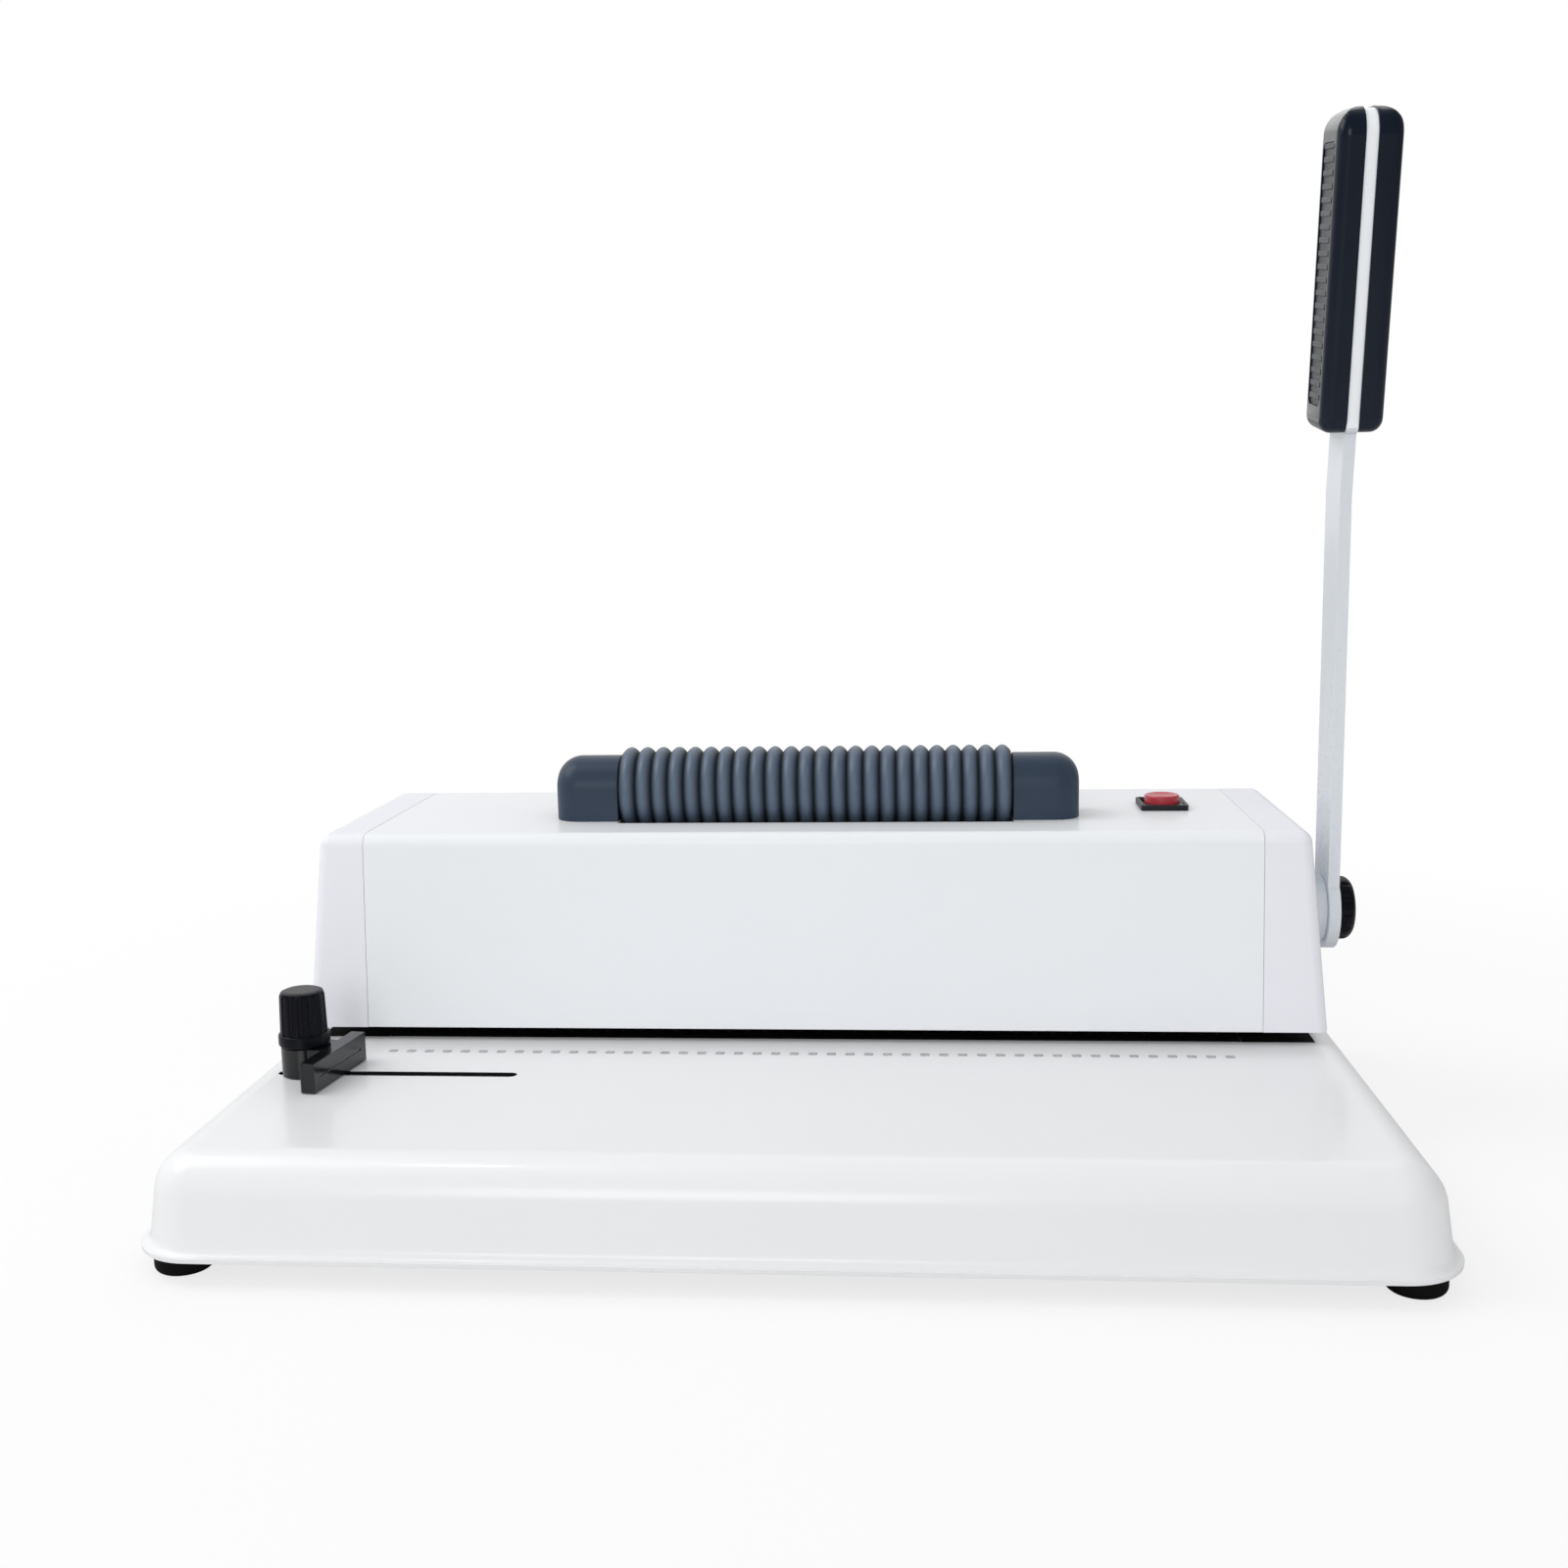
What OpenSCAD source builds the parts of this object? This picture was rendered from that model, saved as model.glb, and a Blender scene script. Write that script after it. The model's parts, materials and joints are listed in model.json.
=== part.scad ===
// Coil binding machine: a lever punch with a motor-driven roller that winds plastic coils into the holes.
// Millimetres. +X to the lever's side, +Y to the back, +Z up. The origin is under the middle of the base.

/* [Base] */
// Width of the base over its lip
base_w = 384; // [380:1:396]
// Depth of the base over its lip
base_d = 238; // [232:1:260]
// Plan radius of the base's corners, at the lip
corner_r = 20; // [20:0.5:30]
// Height of the pressed pan, from its lip to the paper plate
pan_h = 29; // [27:0.5:40]
// Sheet thickness of the pan
pan_t = 1.5; // [1:0.1:2]
// Radius of the pan's rolled shoulder
shoulder_r = 13; // [8:0.5:14]
// Radius of the flare that turns the wall out into the lip
lip_flare = 3; // [2:0.25:3.5]
// Draft of the pan's wall, in degrees
wall_draft = 8; // [4:0.5:9]
// Thickness of the bottom plate
bottom_t = 1.2; // [1:0.1:2]
// How far the bottom plate stays inside the lip
bottom_inset = 4; // [2:0.5:8]
// Diameter of a rubber foot
foot_d = 17.5; // [14:0.5:22]
// Height of a rubber foot
foot_h = 5.8; // [4:0.2:10]
// Distance of a foot's centre from the lip
foot_inset = 14; // [12:0.5:24]

/* [Body] */
// Distance of the body's ends inside the base's lip, at the bottom
body_margin = 14; // [12:0.5:17]
// How far an end cover leans in over its height
end_lean = 6; // [3:0.25:8]
// Width of an end cover along its top
end_w = 16; // [14:0.5:20]
// Height of the body's top above the paper plate
body_h = 73; // [72:0.5:84]
// Distance of the body's back inside the base's lip
rear_margin = 17; // [15:0.5:22]
// Distance of the body's front edge behind the base's centre
front_y = 4; // [0:0.5:6]
// How far the front leans back over its height
front_lean = 5; // [2:0.25:6]
// Radius of the body's outer edges
edge_r = 4; // [2.6:0.2:6]
// Sheet thickness of the covers
cover_t = 1.5; // [1:0.1:2]
// Wall of the moulded end covers
end_wall = 2.5; // [2:0.1:3]
// Gap at the seams
seam_gap = 0.3; // [0.2:0.05:0.6]
// Height of the paper throat under the body
throat_h = 4.5; // [4.2:0.1:6]

/* [Frame] */
// Distance of the side plates' inner faces inside the seams
frame_inset = 4; // [3.5:0.25:6]
// Thickness of a side plate
side_t = 3; // [2:0.25:3]
// Width of a side plate's foot and rear flanges
flange_w = 12; // [10:0.5:14]
// Setback of a side plate from the body's front
side_setback = 22; // [21:0.5:26]

/* [Punch] */
// Least distance from the end holes to the side plates
row_margin = 9; // [7:0.5:9]
// Spacing of the holes, quarter inch
hole_pitch = 6.35; // [6:0.05:6.35]
// Diameter of a punch pin
pin_d = 4; // [3:0.1:4.4]
// Running clearance of pins, posts and shafts, on the radius
run_gap = 0.06; // [0.03:0.01:0.1]
// Distance of the hole row behind the body's front edge
hole_setback = 12; // [11:0.5:13]
// Distance of the paper's edge behind the hole row
edge_margin = 6; // [5:0.25:7]
// Thickness of the die plate
die_t = 6; // [4:0.5:7]
// Thickness of the punch guide plate
guide_plate_t = 6; // [4:0.5:8]
// Distance from the front edge of the die block to its back
block_d = 32; // [31:0.5:36]
// Height of the pin plate above the guide plate, lever up
lift = 25.5; // [24:0.5:26]
// Thickness of the pin plate
pin_plate_t = 6; // [4:0.5:7]
// Height of the punch beam
beam_h = 14; // [10:0.5:15]
// Depth of the punch beam
beam_d = 13; // [11:0.5:14]
// Diameter of a guide post
post_d = 8; // [6:0.5:9]
// Spacing of the guide posts
post_span = 180; // [160:1:200]

/* [Lever] */
// Diameter of the drive shaft
shaft_d = 12; // [10:0.5:13]
// Height of the drive shaft above the paper plate
shaft_h = 39; // [37:0.5:40]
// Distance of the drive shaft behind the body's front edge
shaft_setback = 39.6; // [39:0.2:41]
// Gear module of the rack and pinion
gear_m = 1.25; // [1:0.05:1.25]
// Teeth of a drive pinion
pinion_teeth = 16; // [16:1:17]
// Spacing of the two pinions
pinion_span = 240; // [220:1:260]
// Face width of pinions and racks
gear_w = 10; // [6:0.5:14]
// Gap between the right end cover and the lever's hub, at the shaft
hub_gap = 1.2; // [0.8:0.1:2]
// Gap between the right end cover's lower edge and the lever bar
lever_gap = 4.8; // [4:0.2:8]
// Thickness of the lever bar
bar_t = 4; // [3:0.25:5]
// Width of the lever bar
bar_w = 21; // [16:0.5:24]
// Radius of the bar's round lower end
bar_end_r = 14.4; // [13:0.2:16]
// Height from the shaft to the bend below the grip
bend_h = 146; // [120:1:170]
// Forward bend of the grip
bend_a = 9; // [0:0.5:12]
// Length from the bend to the lower end of the grip
grip_start = 22; // [12:0.5:30]
// Length of the grip
grip_l = 103; // [90:1:120]
// Depth of the grip, front to back
grip_d = 27; // [22:0.5:30]
// Thickness of one grip scale
scale_t = 8.5; // [6:0.25:9]
// Diameter of the clamping knob on the lever's shaft
lever_knob_d = 22.5; // [18:0.5:26]
// Thickness of that knob
lever_knob_t = 6.4; // [6:0.1:9]

/* [Coil roller] */
// Middle of the roller, right of the machine's middle
roller_x = 2; // [-6:0.5:8]
// Distance of the roller's axis behind the body's front edge
roller_setback = 41.5; // [40:0.5:44]
// Height of the roller's axis above the body's top
roller_h = 10.5; // [10:0.25:13]
// Radius over the ribs
rib_r = 15; // [14:0.25:16]
// Depth of the grooves between the ribs
rib_depth = 2.2; // [1.4:0.1:2.6]
// Number of ribs
rib_count = 24; // [18:1:26]
// Length of the ribbed sleeve
sleeve_l = 141; // [120:1:150]
// Length of one end housing
housing_l = 23.7; // [22:0.1:28]
// Radius of the housing's round top
housing_r = 12.1; // [11.5:0.1:13]
// Wall of the housings
housing_wall = 2; // [1.5:0.1:2.4]
// Radius of the housing's outer corner
housing_corner = 9.5; // [6:0.25:11]
// Radius of the housing's upright outer edges
housing_edge = 5; // [3:0.25:6]
// Diameter of the roller's shaft
roller_shaft_d = 8; // [6:0.25:9]
// Radius of the roller's pulley
roller_pulley_r = 5; // [4.6:0.1:5.4]
// Radius of the motor's pulley
motor_pulley_r = 4.5; // [4:0.1:5]
// Width of the belt
belt_w = 5; // [3:0.25:6]
// Thickness of the belt
belt_t = 1; // [0.8:0.1:1.4]
// Gap between the belt and a pulley
belt_gap = 0.3; // [0.2:0.05:0.5]
// Radius of the motor
motor_r = 11; // [10:0.25:11.5]
// Length of the motor
motor_l = 45; // [30:1:60]
// Distance of the motor's axis behind the roller's
motor_back = 6; // [5:0.25:7]
// Distance of the motor's axis below the roller's
motor_drop = 28; // [27.5:0.25:28.5]

/* [Button] */
// Distance of the button's middle from the right seam
button_inset = 27.5; // [20:0.5:34]
// Distance of the button behind the body's front edge
button_setback = 57; // [54:0.5:66]
// Width of the bezel
bezel_w = 17; // [15:0.25:20]
// Depth of the bezel
bezel_d = 20; // [17:0.25:24]
// Height of the bezel's rim
bezel_h = 2; // [1:0.1:3]
// Diameter of the red button
button_d = 12.7; // [10:0.1:13]
// Height of the button above the bezel
button_h = 2.6; // [2:0.1:4]
// Travel of the button
button_travel = 2; // [1:0.1:2]

/* [Side guide] */
// Distance of the slot's middle from the body's left end
slot_inset = 44; // [42:0.5:58]
// Length of the slot
slot_l = 81; // [60:0.5:86]
// Width of the slot
slot_w = 4.6; // [4.4:0.1:6]
// Distance of the slot before the body's front edge
slot_front = 37.5; // [34:0.5:60]
// Distance of the guide's bolt from the body's left end
guide_inset = 13; // [8:0.5:68]
// Turn of the guide about its bolt
guide_turn = 8.2; // [-10:0.2:20]
// Diameter of the guide's boss
boss_d = 15.5; // [14:0.25:18]
// Height of the boss and the fence
fence_h = 9.8; // [8:0.2:12]
// Thickness of the fence
fence_t = 5; // [4:0.25:6]
// Length of the fence
fence_l = 36; // [30:0.5:50]
// Distance of the fence's outer face from the bolt
fence_reach = 13.9; // [12:0.1:16]
// Diameter of the guide's bolt
bolt_d = 4; // [3:0.1:4.2]
// Diameter of the guide's knob
guide_knob_d = 15.6; // [13:0.1:17]
// Height of the guide's knob
guide_knob_h = 18.4; // [14:0.2:22]

/* [Chip tray] */
// Distance of the tray's sides inside the side plates
tray_side = 4; // [2:0.5:6]
// Height of the tray
tray_h = 19; // [14:0.5:19.5]
// Wall of the tray
tray_wall = 1.6; // [1.2:0.1:2.4]
// Gap between the tray and what it runs on
tray_gap = 0.4; // [0.3:0.05:0.8]
// Distance of the tray's inner end before the body's front edge
tray_front = 2; // [0:0.5:6]

/* [Power inlet] */
// Distance of the power inlet's middle from the left seam
inlet_inset = 46; // [26:1:90]
// Height of the inlet's middle above the paper plate
inlet_h = 28; // [22:0.5:44]

/* [Hidden] */
$fn = 48;

// Small amount by which a cutting tool overshoots
over = 1;
// Radial gap of pieces that are fixed in one another
fit_gap = 0.05;

// Heights
pan_bottom = foot_h + bottom_t;
plate_z = pan_bottom + pan_h;
sheet_z = plate_z - pan_t;
body_z = plate_z + throat_h;
body_top = plate_z + body_h;
under_cover = body_top - cover_t;
lean_a = atan(front_lean / (body_top - body_z));
rear_y = base_d / 2 - rear_margin;
body_d = rear_y - front_y;

// Widths, from the base inwards
body_half = base_w / 2 - body_margin;
top_half = body_half - end_lean;
seam_x = top_half - end_w;
frame_w = 2 * (seam_x - frame_inset);
tray_w = frame_w - 2 * tray_side;

// Base
corner_x = base_w / 2 - corner_r;
corner_y = base_d / 2 - corner_r;
flare_c = [corner_r, pan_bottom + pan_t + lip_flare];
shoulder_z = plate_z - shoulder_r;
shoulder_c = [corner_r - ((shoulder_z - flare_c[1]) * sin(wall_draft) + lip_flare + shoulder_r) / cos(wall_draft),
    shoulder_z];
foot_screw_d = 4;
foot_head_d = 8;
foot_head_h = 2.2;
foot_recess = 2.8;
foot_x = base_w / 2 - foot_inset;
foot_y = base_d / 2 - foot_inset;
post_flat = 9;
base_screw_reach = 8;
base_post_x = corner_x - 8;
base_post_y = corner_y - 2;

// Punch block
hole_count = floor((frame_w - 2 * row_margin) / hole_pitch) + 1;
hole_y = front_y + hole_setback;
gauge_y = hole_y + edge_margin;
block_y0 = front_y + 4;
block_y1 = block_y0 + block_d;
land_y1 = gauge_y + 4;
block_x = frame_w / 2 - 2.5;
block_gap = 0.2;
guide_top = body_z + guide_plate_t;
block_screw_y = block_y1 - 7;
block_screw_in = 9.5;
block_screws_x = [block_screw_in - block_x, -66, -22, 22, 66, block_x - block_screw_in];
block_screw_d = 5;
block_head_d = 8.5;
block_head_h = 3.5;
pin_tip_z = body_z + 1.5;
pin_head_d = 5.6;
pin_head_h = 2;
pin_plate_z = guide_top + lift;
pin_plate_top = pin_plate_z + pin_plate_t;
beam_z = pin_plate_top + pin_head_h;
beam_top = beam_z + beam_h;
beam_x = frame_w / 2 - 3;
beam_y0 = hole_y - 5.5;
beam_y1 = beam_y0 + beam_d;
ear_l = 16;
ear_h = 10;
ear_d = 12;
post_top = beam_top + 4;
spring_wire = 0.6;
spring_gap = 0.4;
spring_r = post_d / 2 + 1.5;
post_y = beam_y1 + spring_r + spring_wire + spring_gap;
spring_turns = 8;
beam_screw_in = 2;
beam_screws_x = [beam_screw_in - beam_x, -100, -50, 0, 50, 100, beam_x - beam_screw_in];
beam_screw_d = 3;
beam_screw_y = hole_y + 4.8;

// Drive
shaft_y = front_y + shaft_setback;
shaft_z = plate_z + shaft_h;
pinion_r = gear_m * pinion_teeth / 2;
gear_play = 0.12;
rack_y = shaft_y - pinion_r;
rack_z0 = shaft_z - 8;
rack_teeth = 8;
rack_pitch = PI * gear_m;
bush_wall = 3;
bush_flange = 2;
bush_flange_t = 1.5;
bar_x = body_half + lever_gap;
shaft_x0 = -frame_w / 2 - side_t - 3;
shaft_x1 = bar_x + bar_t + lever_knob_t - 2.4;
hub_r = 12;

// Grip, in the grip's own frame: z along the grip from its lower end, x across, y front to back
grip_top_r = 10;
grip_end_r = 4;
grip_front_r = 3.5;
grip_back_r = 7;
grip_side_r = 6;
tang_inset = 0.6;
tang_end_r = 2;
grip_screws_z = [22, 78];
grip_screw_d = 4;
grip_head_d = 7;

// Roller
roller_y = front_y + roller_setback;
roller_z = body_top + roller_h;
roller_gap = 0.5;
housing_x = sleeve_l / 2 + roller_gap;
web_t = 3;
roller_bush_wall = 2;
pulley_x0 = roller_x + housing_x + web_t + 4.5;
pulley_w = belt_w + 2.4;
motor_y = roller_y + motor_back;
motor_z = roller_z - motor_drop;
bracket_t = 2;
bracket_x = pulley_x0 - 3.5;
motor_shaft_d = 4;
motor_boss_r = 5;
motor_boss_h = 1.5;
motor_screw_d = 3;
motor_screw_r = 7.8;
belt_len = sqrt(motor_back * motor_back + motor_drop * motor_drop);
belt_a = atan2(-motor_drop, motor_back);
slot_play = 1.2;

// Button
button_x = seam_x - button_inset;
button_y = front_y + button_setback;
switch_play = 0.3;
switch_h = 18;
bezel_wall = 1.8;

// Side guide
slot_x = slot_inset - body_half;
guide_x = guide_inset - body_half;
slot_y = front_y - slot_front;
guide_gap = 0.3;
fence_y = -fence_l / 2 - 2.2;
web_half = boss_d / 2 - 1.5;
bolt_head_d = 10;
bolt_head_h = 3;
knob_z = plate_z + guide_gap + fence_h + guide_gap;

// Chip tray
tray_z = pan_bottom + tray_gap;
tray_y0 = front_y - tray_front;
tray_face_inset = 6.5;
face_y = base_d / 2 - tray_face_inset;
rail_t = 2;
tray_face_t = 2.4;
pull_d = 2.4;

// Inlet
inlet_x = inlet_inset - seam_x;
inlet_z = plate_z + inlet_h;
inlet_w = 27;
inlet_ht = 19.8;
inlet_rim = 2.2;
inlet_depth = 16;
rear_face = rear_y - cover_t;

// Unit vector at an angle, and points along an arc
function heading(a) = [cos(a), sin(a)];
function arc(c, r, a0, a1, n = 6) =
    [for (k = [0 : n]) let (a = a0 + (a1 - a0) * k / n) c + r * heading(a)];

// Extrudes a (Y, Z) outline along X
module along_x(x0, x1) {
    translate([x0, 0, 0]) rotate([90, 0, 90]) linear_extrude(x1 - x0) children();
}

// Extrudes an (X, Z) outline along Y
module along_y(y0, y1) {
    translate([0, y1, 0]) rotate([90, 0, 0]) linear_extrude(y1 - y0) children();
}

// Round bar along X
module bar_x_dir(x0, x1, y, z, r) {
    translate([x0, y, z]) rotate([0, 90, 0]) cylinder(h = x1 - x0, r = r);
}

// Round bar along Y
module bar_y_dir(y0, y1, x, z, r) {
    translate([x, y0, z]) rotate([-90, 0, 0]) cylinder(h = y1 - y0, r = r);
}

// Round bar along Z
module bar_z_dir(z0, z1, x, y, r) {
    translate([x, y, z0]) cylinder(h = z1 - z0, r = r);
}

// Box between two corners
module block(low, high) {
    translate(low) cube(high - low);
}

// Copies a child to the four corners of a rectangle
module at_corners(x, y) {
    for (sx = [-1, 1], sy = [-1, 1]) translate([sx * x, sy * y, 0]) children();
}

// Rectangle with round corners, centred
module round_rect(w, d, r) {
    square([w - 2 * r, d], center = true);
    square([w, d - 2 * r], center = true);
    for (sx = [-1, 1], sy = [-1, 1]) translate([sx * (w / 2 - r), sy * (d / 2 - r)]) circle(r);
}

// Half the angle that a tooth fills at radius r, in degrees
function involute(a) = tan(a) * 180 / PI - a;
function tooth_half(r, m, teeth, play) =
    90 / teeth - play / (m * teeth / 2) * 180 / PI + involute(20)
    - involute(acos(min(1, m * teeth / 2 * cos(20) / r)));

// Outline of an involute gear with a tooth on the +X axis
module gear_outline(m, teeth, play) {
    pitch_r = m * teeth / 2;
    base_r = pitch_r * cos(20);
    root_r = pitch_r - 1.25 * m;
    tip_r = pitch_r + m;
    low_r = max(base_r, root_r);
    steps = 4;
    flank = [for (k = [0 : steps]) low_r + (tip_r - low_r) * k / steps];
    polygon([for (t = [0 : teeth - 1]) let (a = 360 * t / teeth) each concat(
        [root_r * [cos(a - tooth_half(low_r, m, teeth, play)), sin(a - tooth_half(low_r, m, teeth, play))]],
        [for (r = flank) let (h = tooth_half(r, m, teeth, play)) r * [cos(a - h), sin(a - h)]],
        [for (k = [steps : -1 : 0]) let (r = flank[k], h = tooth_half(r, m, teeth, play))
            r * [cos(a + h), sin(a + h)]],
        [root_r * [cos(a + tooth_half(low_r, m, teeth, play)), sin(a + tooth_half(low_r, m, teeth, play))]])]);
}

// Wall profile of the pan: distance out from the corner's centre, and height
pan_profile = concat(
    [[0, plate_z]],
    arc(shoulder_c, shoulder_r, 90, wall_draft),
    arc(flare_c, lip_flare, 180 + wall_draft, 270, 4),
    arc(flare_c, lip_flare + pan_t, 270, 180 + wall_draft, 4),
    arc(shoulder_c, shoulder_r - pan_t, wall_draft, 90),
    [[0, sheet_z]]);

// Pressed sheet pan before its holes are cut
module pan_blank() {
    block([-corner_x, -corner_y, sheet_z], [corner_x, corner_y, plate_z]);
    for (turn = [0, 180]) rotate(turn) {
        translate([0, corner_y, 0]) along_x(-corner_x, corner_x) polygon(pan_profile);
        translate([corner_x, 0, 0]) along_y(-corner_y, corner_y) polygon(pan_profile);
        translate([corner_x, corner_y, 0]) rotate_extrude(angle = 90) polygon(pan_profile);
        translate([-corner_x, corner_y, 0]) rotate(90) rotate_extrude(angle = 90) polygon(pan_profile);
    }
}

module base_pan() {
    color([0.94, 0.945, 0.95]) difference() {
        pan_blank();
        block([-block_x - block_gap, block_y0 - block_gap, sheet_z - over],
            [block_x + block_gap, land_y1 + block_gap, plate_z + over]);
        for (x = block_screws_x) bar_z_dir(sheet_z - over, plate_z + over, x, block_screw_y, block_screw_d / 2 + fit_gap);
        frame_screw_places() bar_z_dir(sheet_z - over, plate_z + over, 0, 0, frame_screw_d / 2 + fit_gap);
        translate([slot_x, slot_y, sheet_z - over]) linear_extrude(pan_t + 2 * over) guide_slot();
        block([-tray_w / 2 - tray_gap, corner_y, pan_bottom - over],
            [tray_w / 2 + tray_gap, base_d / 2 + over, tray_z + tray_h + tray_gap]);
    }
}

module guide_slot() {
    square([slot_l - slot_w, slot_w], center = true);
    for (s = [-1, 1]) translate([s * (slot_l - slot_w) / 2, 0]) circle(slot_w / 2);
}

module bottom_plate() {
    color([0.75, 0.76, 0.78]) difference() {
        translate([0, 0, foot_h]) linear_extrude(bottom_t)
            round_rect(base_w - 2 * bottom_inset, base_d - 2 * bottom_inset, corner_r - bottom_inset);
        at_corners(foot_x, foot_y) bar_z_dir(foot_h - over, pan_bottom + over, 0, 0, foot_screw_d / 2 + fit_gap);
        at_corners(base_post_x, base_post_y)
            bar_z_dir(foot_h - over, pan_bottom + over, 0, 0, foot_screw_d / 2 + fit_gap);
    }
}

module rubber_feet() {
    edge = 1.5;
    color([0.04, 0.03, 0.03]) at_corners(foot_x, foot_y) rotate_extrude() polygon(concat(
        [[foot_head_d / 2 + 0.6, 0]],
        arc([foot_d / 2 - edge, edge], edge, -90, 0, 4),
        [[foot_d / 2 - 0.6, foot_h], [foot_screw_d / 2 + fit_gap, foot_h],
        [foot_screw_d / 2 + fit_gap, foot_recess], [foot_head_d / 2 + 0.6, foot_recess]]));
}

module foot_screws() {
    nut_h = 3.2;
    color([0.6, 0.6, 0.62]) at_corners(foot_x, foot_y) {
        bar_z_dir(foot_recess - foot_head_h, foot_recess, 0, 0, foot_head_d / 2);
        bar_z_dir(foot_recess, pan_bottom + nut_h + 1, 0, 0, foot_screw_d / 2);
        translate([0, 0, pan_bottom]) cylinder(h = nut_h, d = 8, $fn = 6);
    }
}

module base_posts() {
    color([0.6, 0.6, 0.62]) at_corners(base_post_x, base_post_y) difference() {
        translate([0, 0, pan_bottom]) cylinder(h = sheet_z - pan_bottom, d = post_flat, $fn = 6);
        bar_z_dir(pan_bottom - over, pan_bottom + base_screw_reach + 2, 0, 0, foot_screw_d / 2 + fit_gap);
    }
}

module base_screws() {
    color([0.6, 0.6, 0.62]) at_corners(base_post_x, base_post_y) {
        bar_z_dir(foot_h - foot_head_h, foot_h, 0, 0, foot_head_d / 2);
        bar_z_dir(foot_h, pan_bottom + base_screw_reach, 0, 0, foot_screw_d / 2);
    }
}

module tray_rails() {
    rail_h = tray_h - 4;
    x0 = tray_w / 2 + tray_gap;
    color([0.6, 0.6, 0.62]) for (s = [0, 1]) mirror([s, 0, 0]) {
        block([x0, tray_y0, pan_bottom], [x0 + rail_t, corner_y, pan_bottom + rail_h]);
        block([x0 + rail_t, tray_y0, pan_bottom], [x0 + 10, corner_y, pan_bottom + rail_t]);
    }
}

// One child at every hole of the row
module hole_row() {
    for (k = [0 : hole_count - 1]) translate([(k - (hole_count - 1) / 2) * hole_pitch, hole_y, 0]) children();
}

module die_plate() {
    flange_z = plate_z - die_t;
    color([0.55, 0.56, 0.58]) difference() {
        union() {
            block([-block_x, block_y0, flange_z], [block_x, land_y1, plate_z]);
            block([-block_x, land_y1, flange_z], [block_x, block_y1, sheet_z]);
        }
        hole_row() bar_z_dir(flange_z - over, plate_z + over, 0, 0, pin_d / 2 + run_gap);
        for (x = block_screws_x) bar_z_dir(flange_z - over, plate_z + over, x, block_screw_y, block_screw_d / 2 + fit_gap);
    }
}

module back_gauge() {
    color([0.55, 0.56, 0.58]) difference() {
        block([-block_x, gauge_y, plate_z], [block_x, block_y1, body_z]);
        for (x = block_screws_x) bar_z_dir(plate_z - over, body_z + over, x, block_screw_y, block_screw_d / 2 + fit_gap);
    }
}

module guide_plate() {
    color([0.6, 0.61, 0.63]) difference() {
        block([-block_x, block_y0, body_z], [block_x, block_y1, guide_top]);
        hole_row() bar_z_dir(body_z - over, guide_top + over, 0, 0, pin_d / 2 + run_gap);
        for (x = block_screws_x) bar_z_dir(body_z - over, guide_top + over, x, block_screw_y, block_screw_d / 2 + fit_gap);
        for (s = [-1, 1]) bar_z_dir(body_z - over, guide_top + over, s * post_span / 2, post_y, post_d / 2 + fit_gap);
    }
}

module block_screws() {
    color([0.3, 0.3, 0.32]) for (x = block_screws_x) {
        bar_z_dir(plate_z - die_t, guide_top, x, block_screw_y, block_screw_d / 2);
        difference() {
            bar_z_dir(guide_top, guide_top + block_head_h, x, block_screw_y, block_head_d / 2);
            translate([x, block_screw_y, guide_top + 1.5]) cylinder(h = block_head_h, d = 4.6, $fn = 6);
        }
    }
}

frame_screw_d = 5;
// Puts a child at each screw through the side plates' feet
module frame_screw_places() {
    for (sx = [-1, 1], y = [block_y1 + 14, rear_y - 20])
        translate([sx * (frame_w / 2 + side_t + flange_w / 2), y, 0]) children();
}

// Side plate on the right: an upright with a foot turned out and a rear flange turned in
module side_plate() {
    x0 = frame_w / 2;
    x1 = x0 + side_t;
    y0 = front_y + side_setback;
    y1 = rear_face;
    foot_y0 = block_y1 + 4;
    color([0.66, 0.67, 0.69]) difference() {
        union() {
            along_x(x0, x1) polygon([[y0, guide_top], [foot_y0, guide_top], [foot_y0, plate_z], [y1, plate_z],
                [y1, under_cover], [y0, under_cover]]);
            block([x1, foot_y0, plate_z], [x1 + flange_w, y1, plate_z + side_t]);
            block([x0 - flange_w, y1 - side_t, plate_z + 8], [x0, y1, under_cover - 4]);
        }
        bar_x_dir(x0 - over, x1 + over, shaft_y, shaft_z, shaft_d / 2 + bush_wall + fit_gap);
        frame_screw_places() bar_z_dir(plate_z - over, plate_z + side_t + over, 0, 0, frame_screw_d / 2 + fit_gap);
        end_screw_places() bar_x_dir(x0 - over, x1 + over, 0, 0, end_screw_d / 2 + fit_gap);
        for (z = rear_screws_z) bar_y_dir(y1 - side_t - over, y1 + over, rear_screw_x, z, rear_screw_d / 2 + fit_gap);
    }
}

module right_side_plate() {
    side_plate();
}

module left_side_plate() {
    mirror([1, 0, 0]) side_plate();
}

module frame_screws() {
    nut_h = 4;
    color([0.6, 0.6, 0.62]) frame_screw_places() {
        bar_z_dir(plate_z + side_t, plate_z + side_t + 1.2, 0, 0, 4.5);
        bar_z_dir(sheet_z - nut_h - 0.5, plate_z + side_t, 0, 0, frame_screw_d / 2);
        translate([0, 0, sheet_z - nut_h]) cylinder(h = nut_h, d = 9.2, $fn = 6);
    }
}

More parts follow.
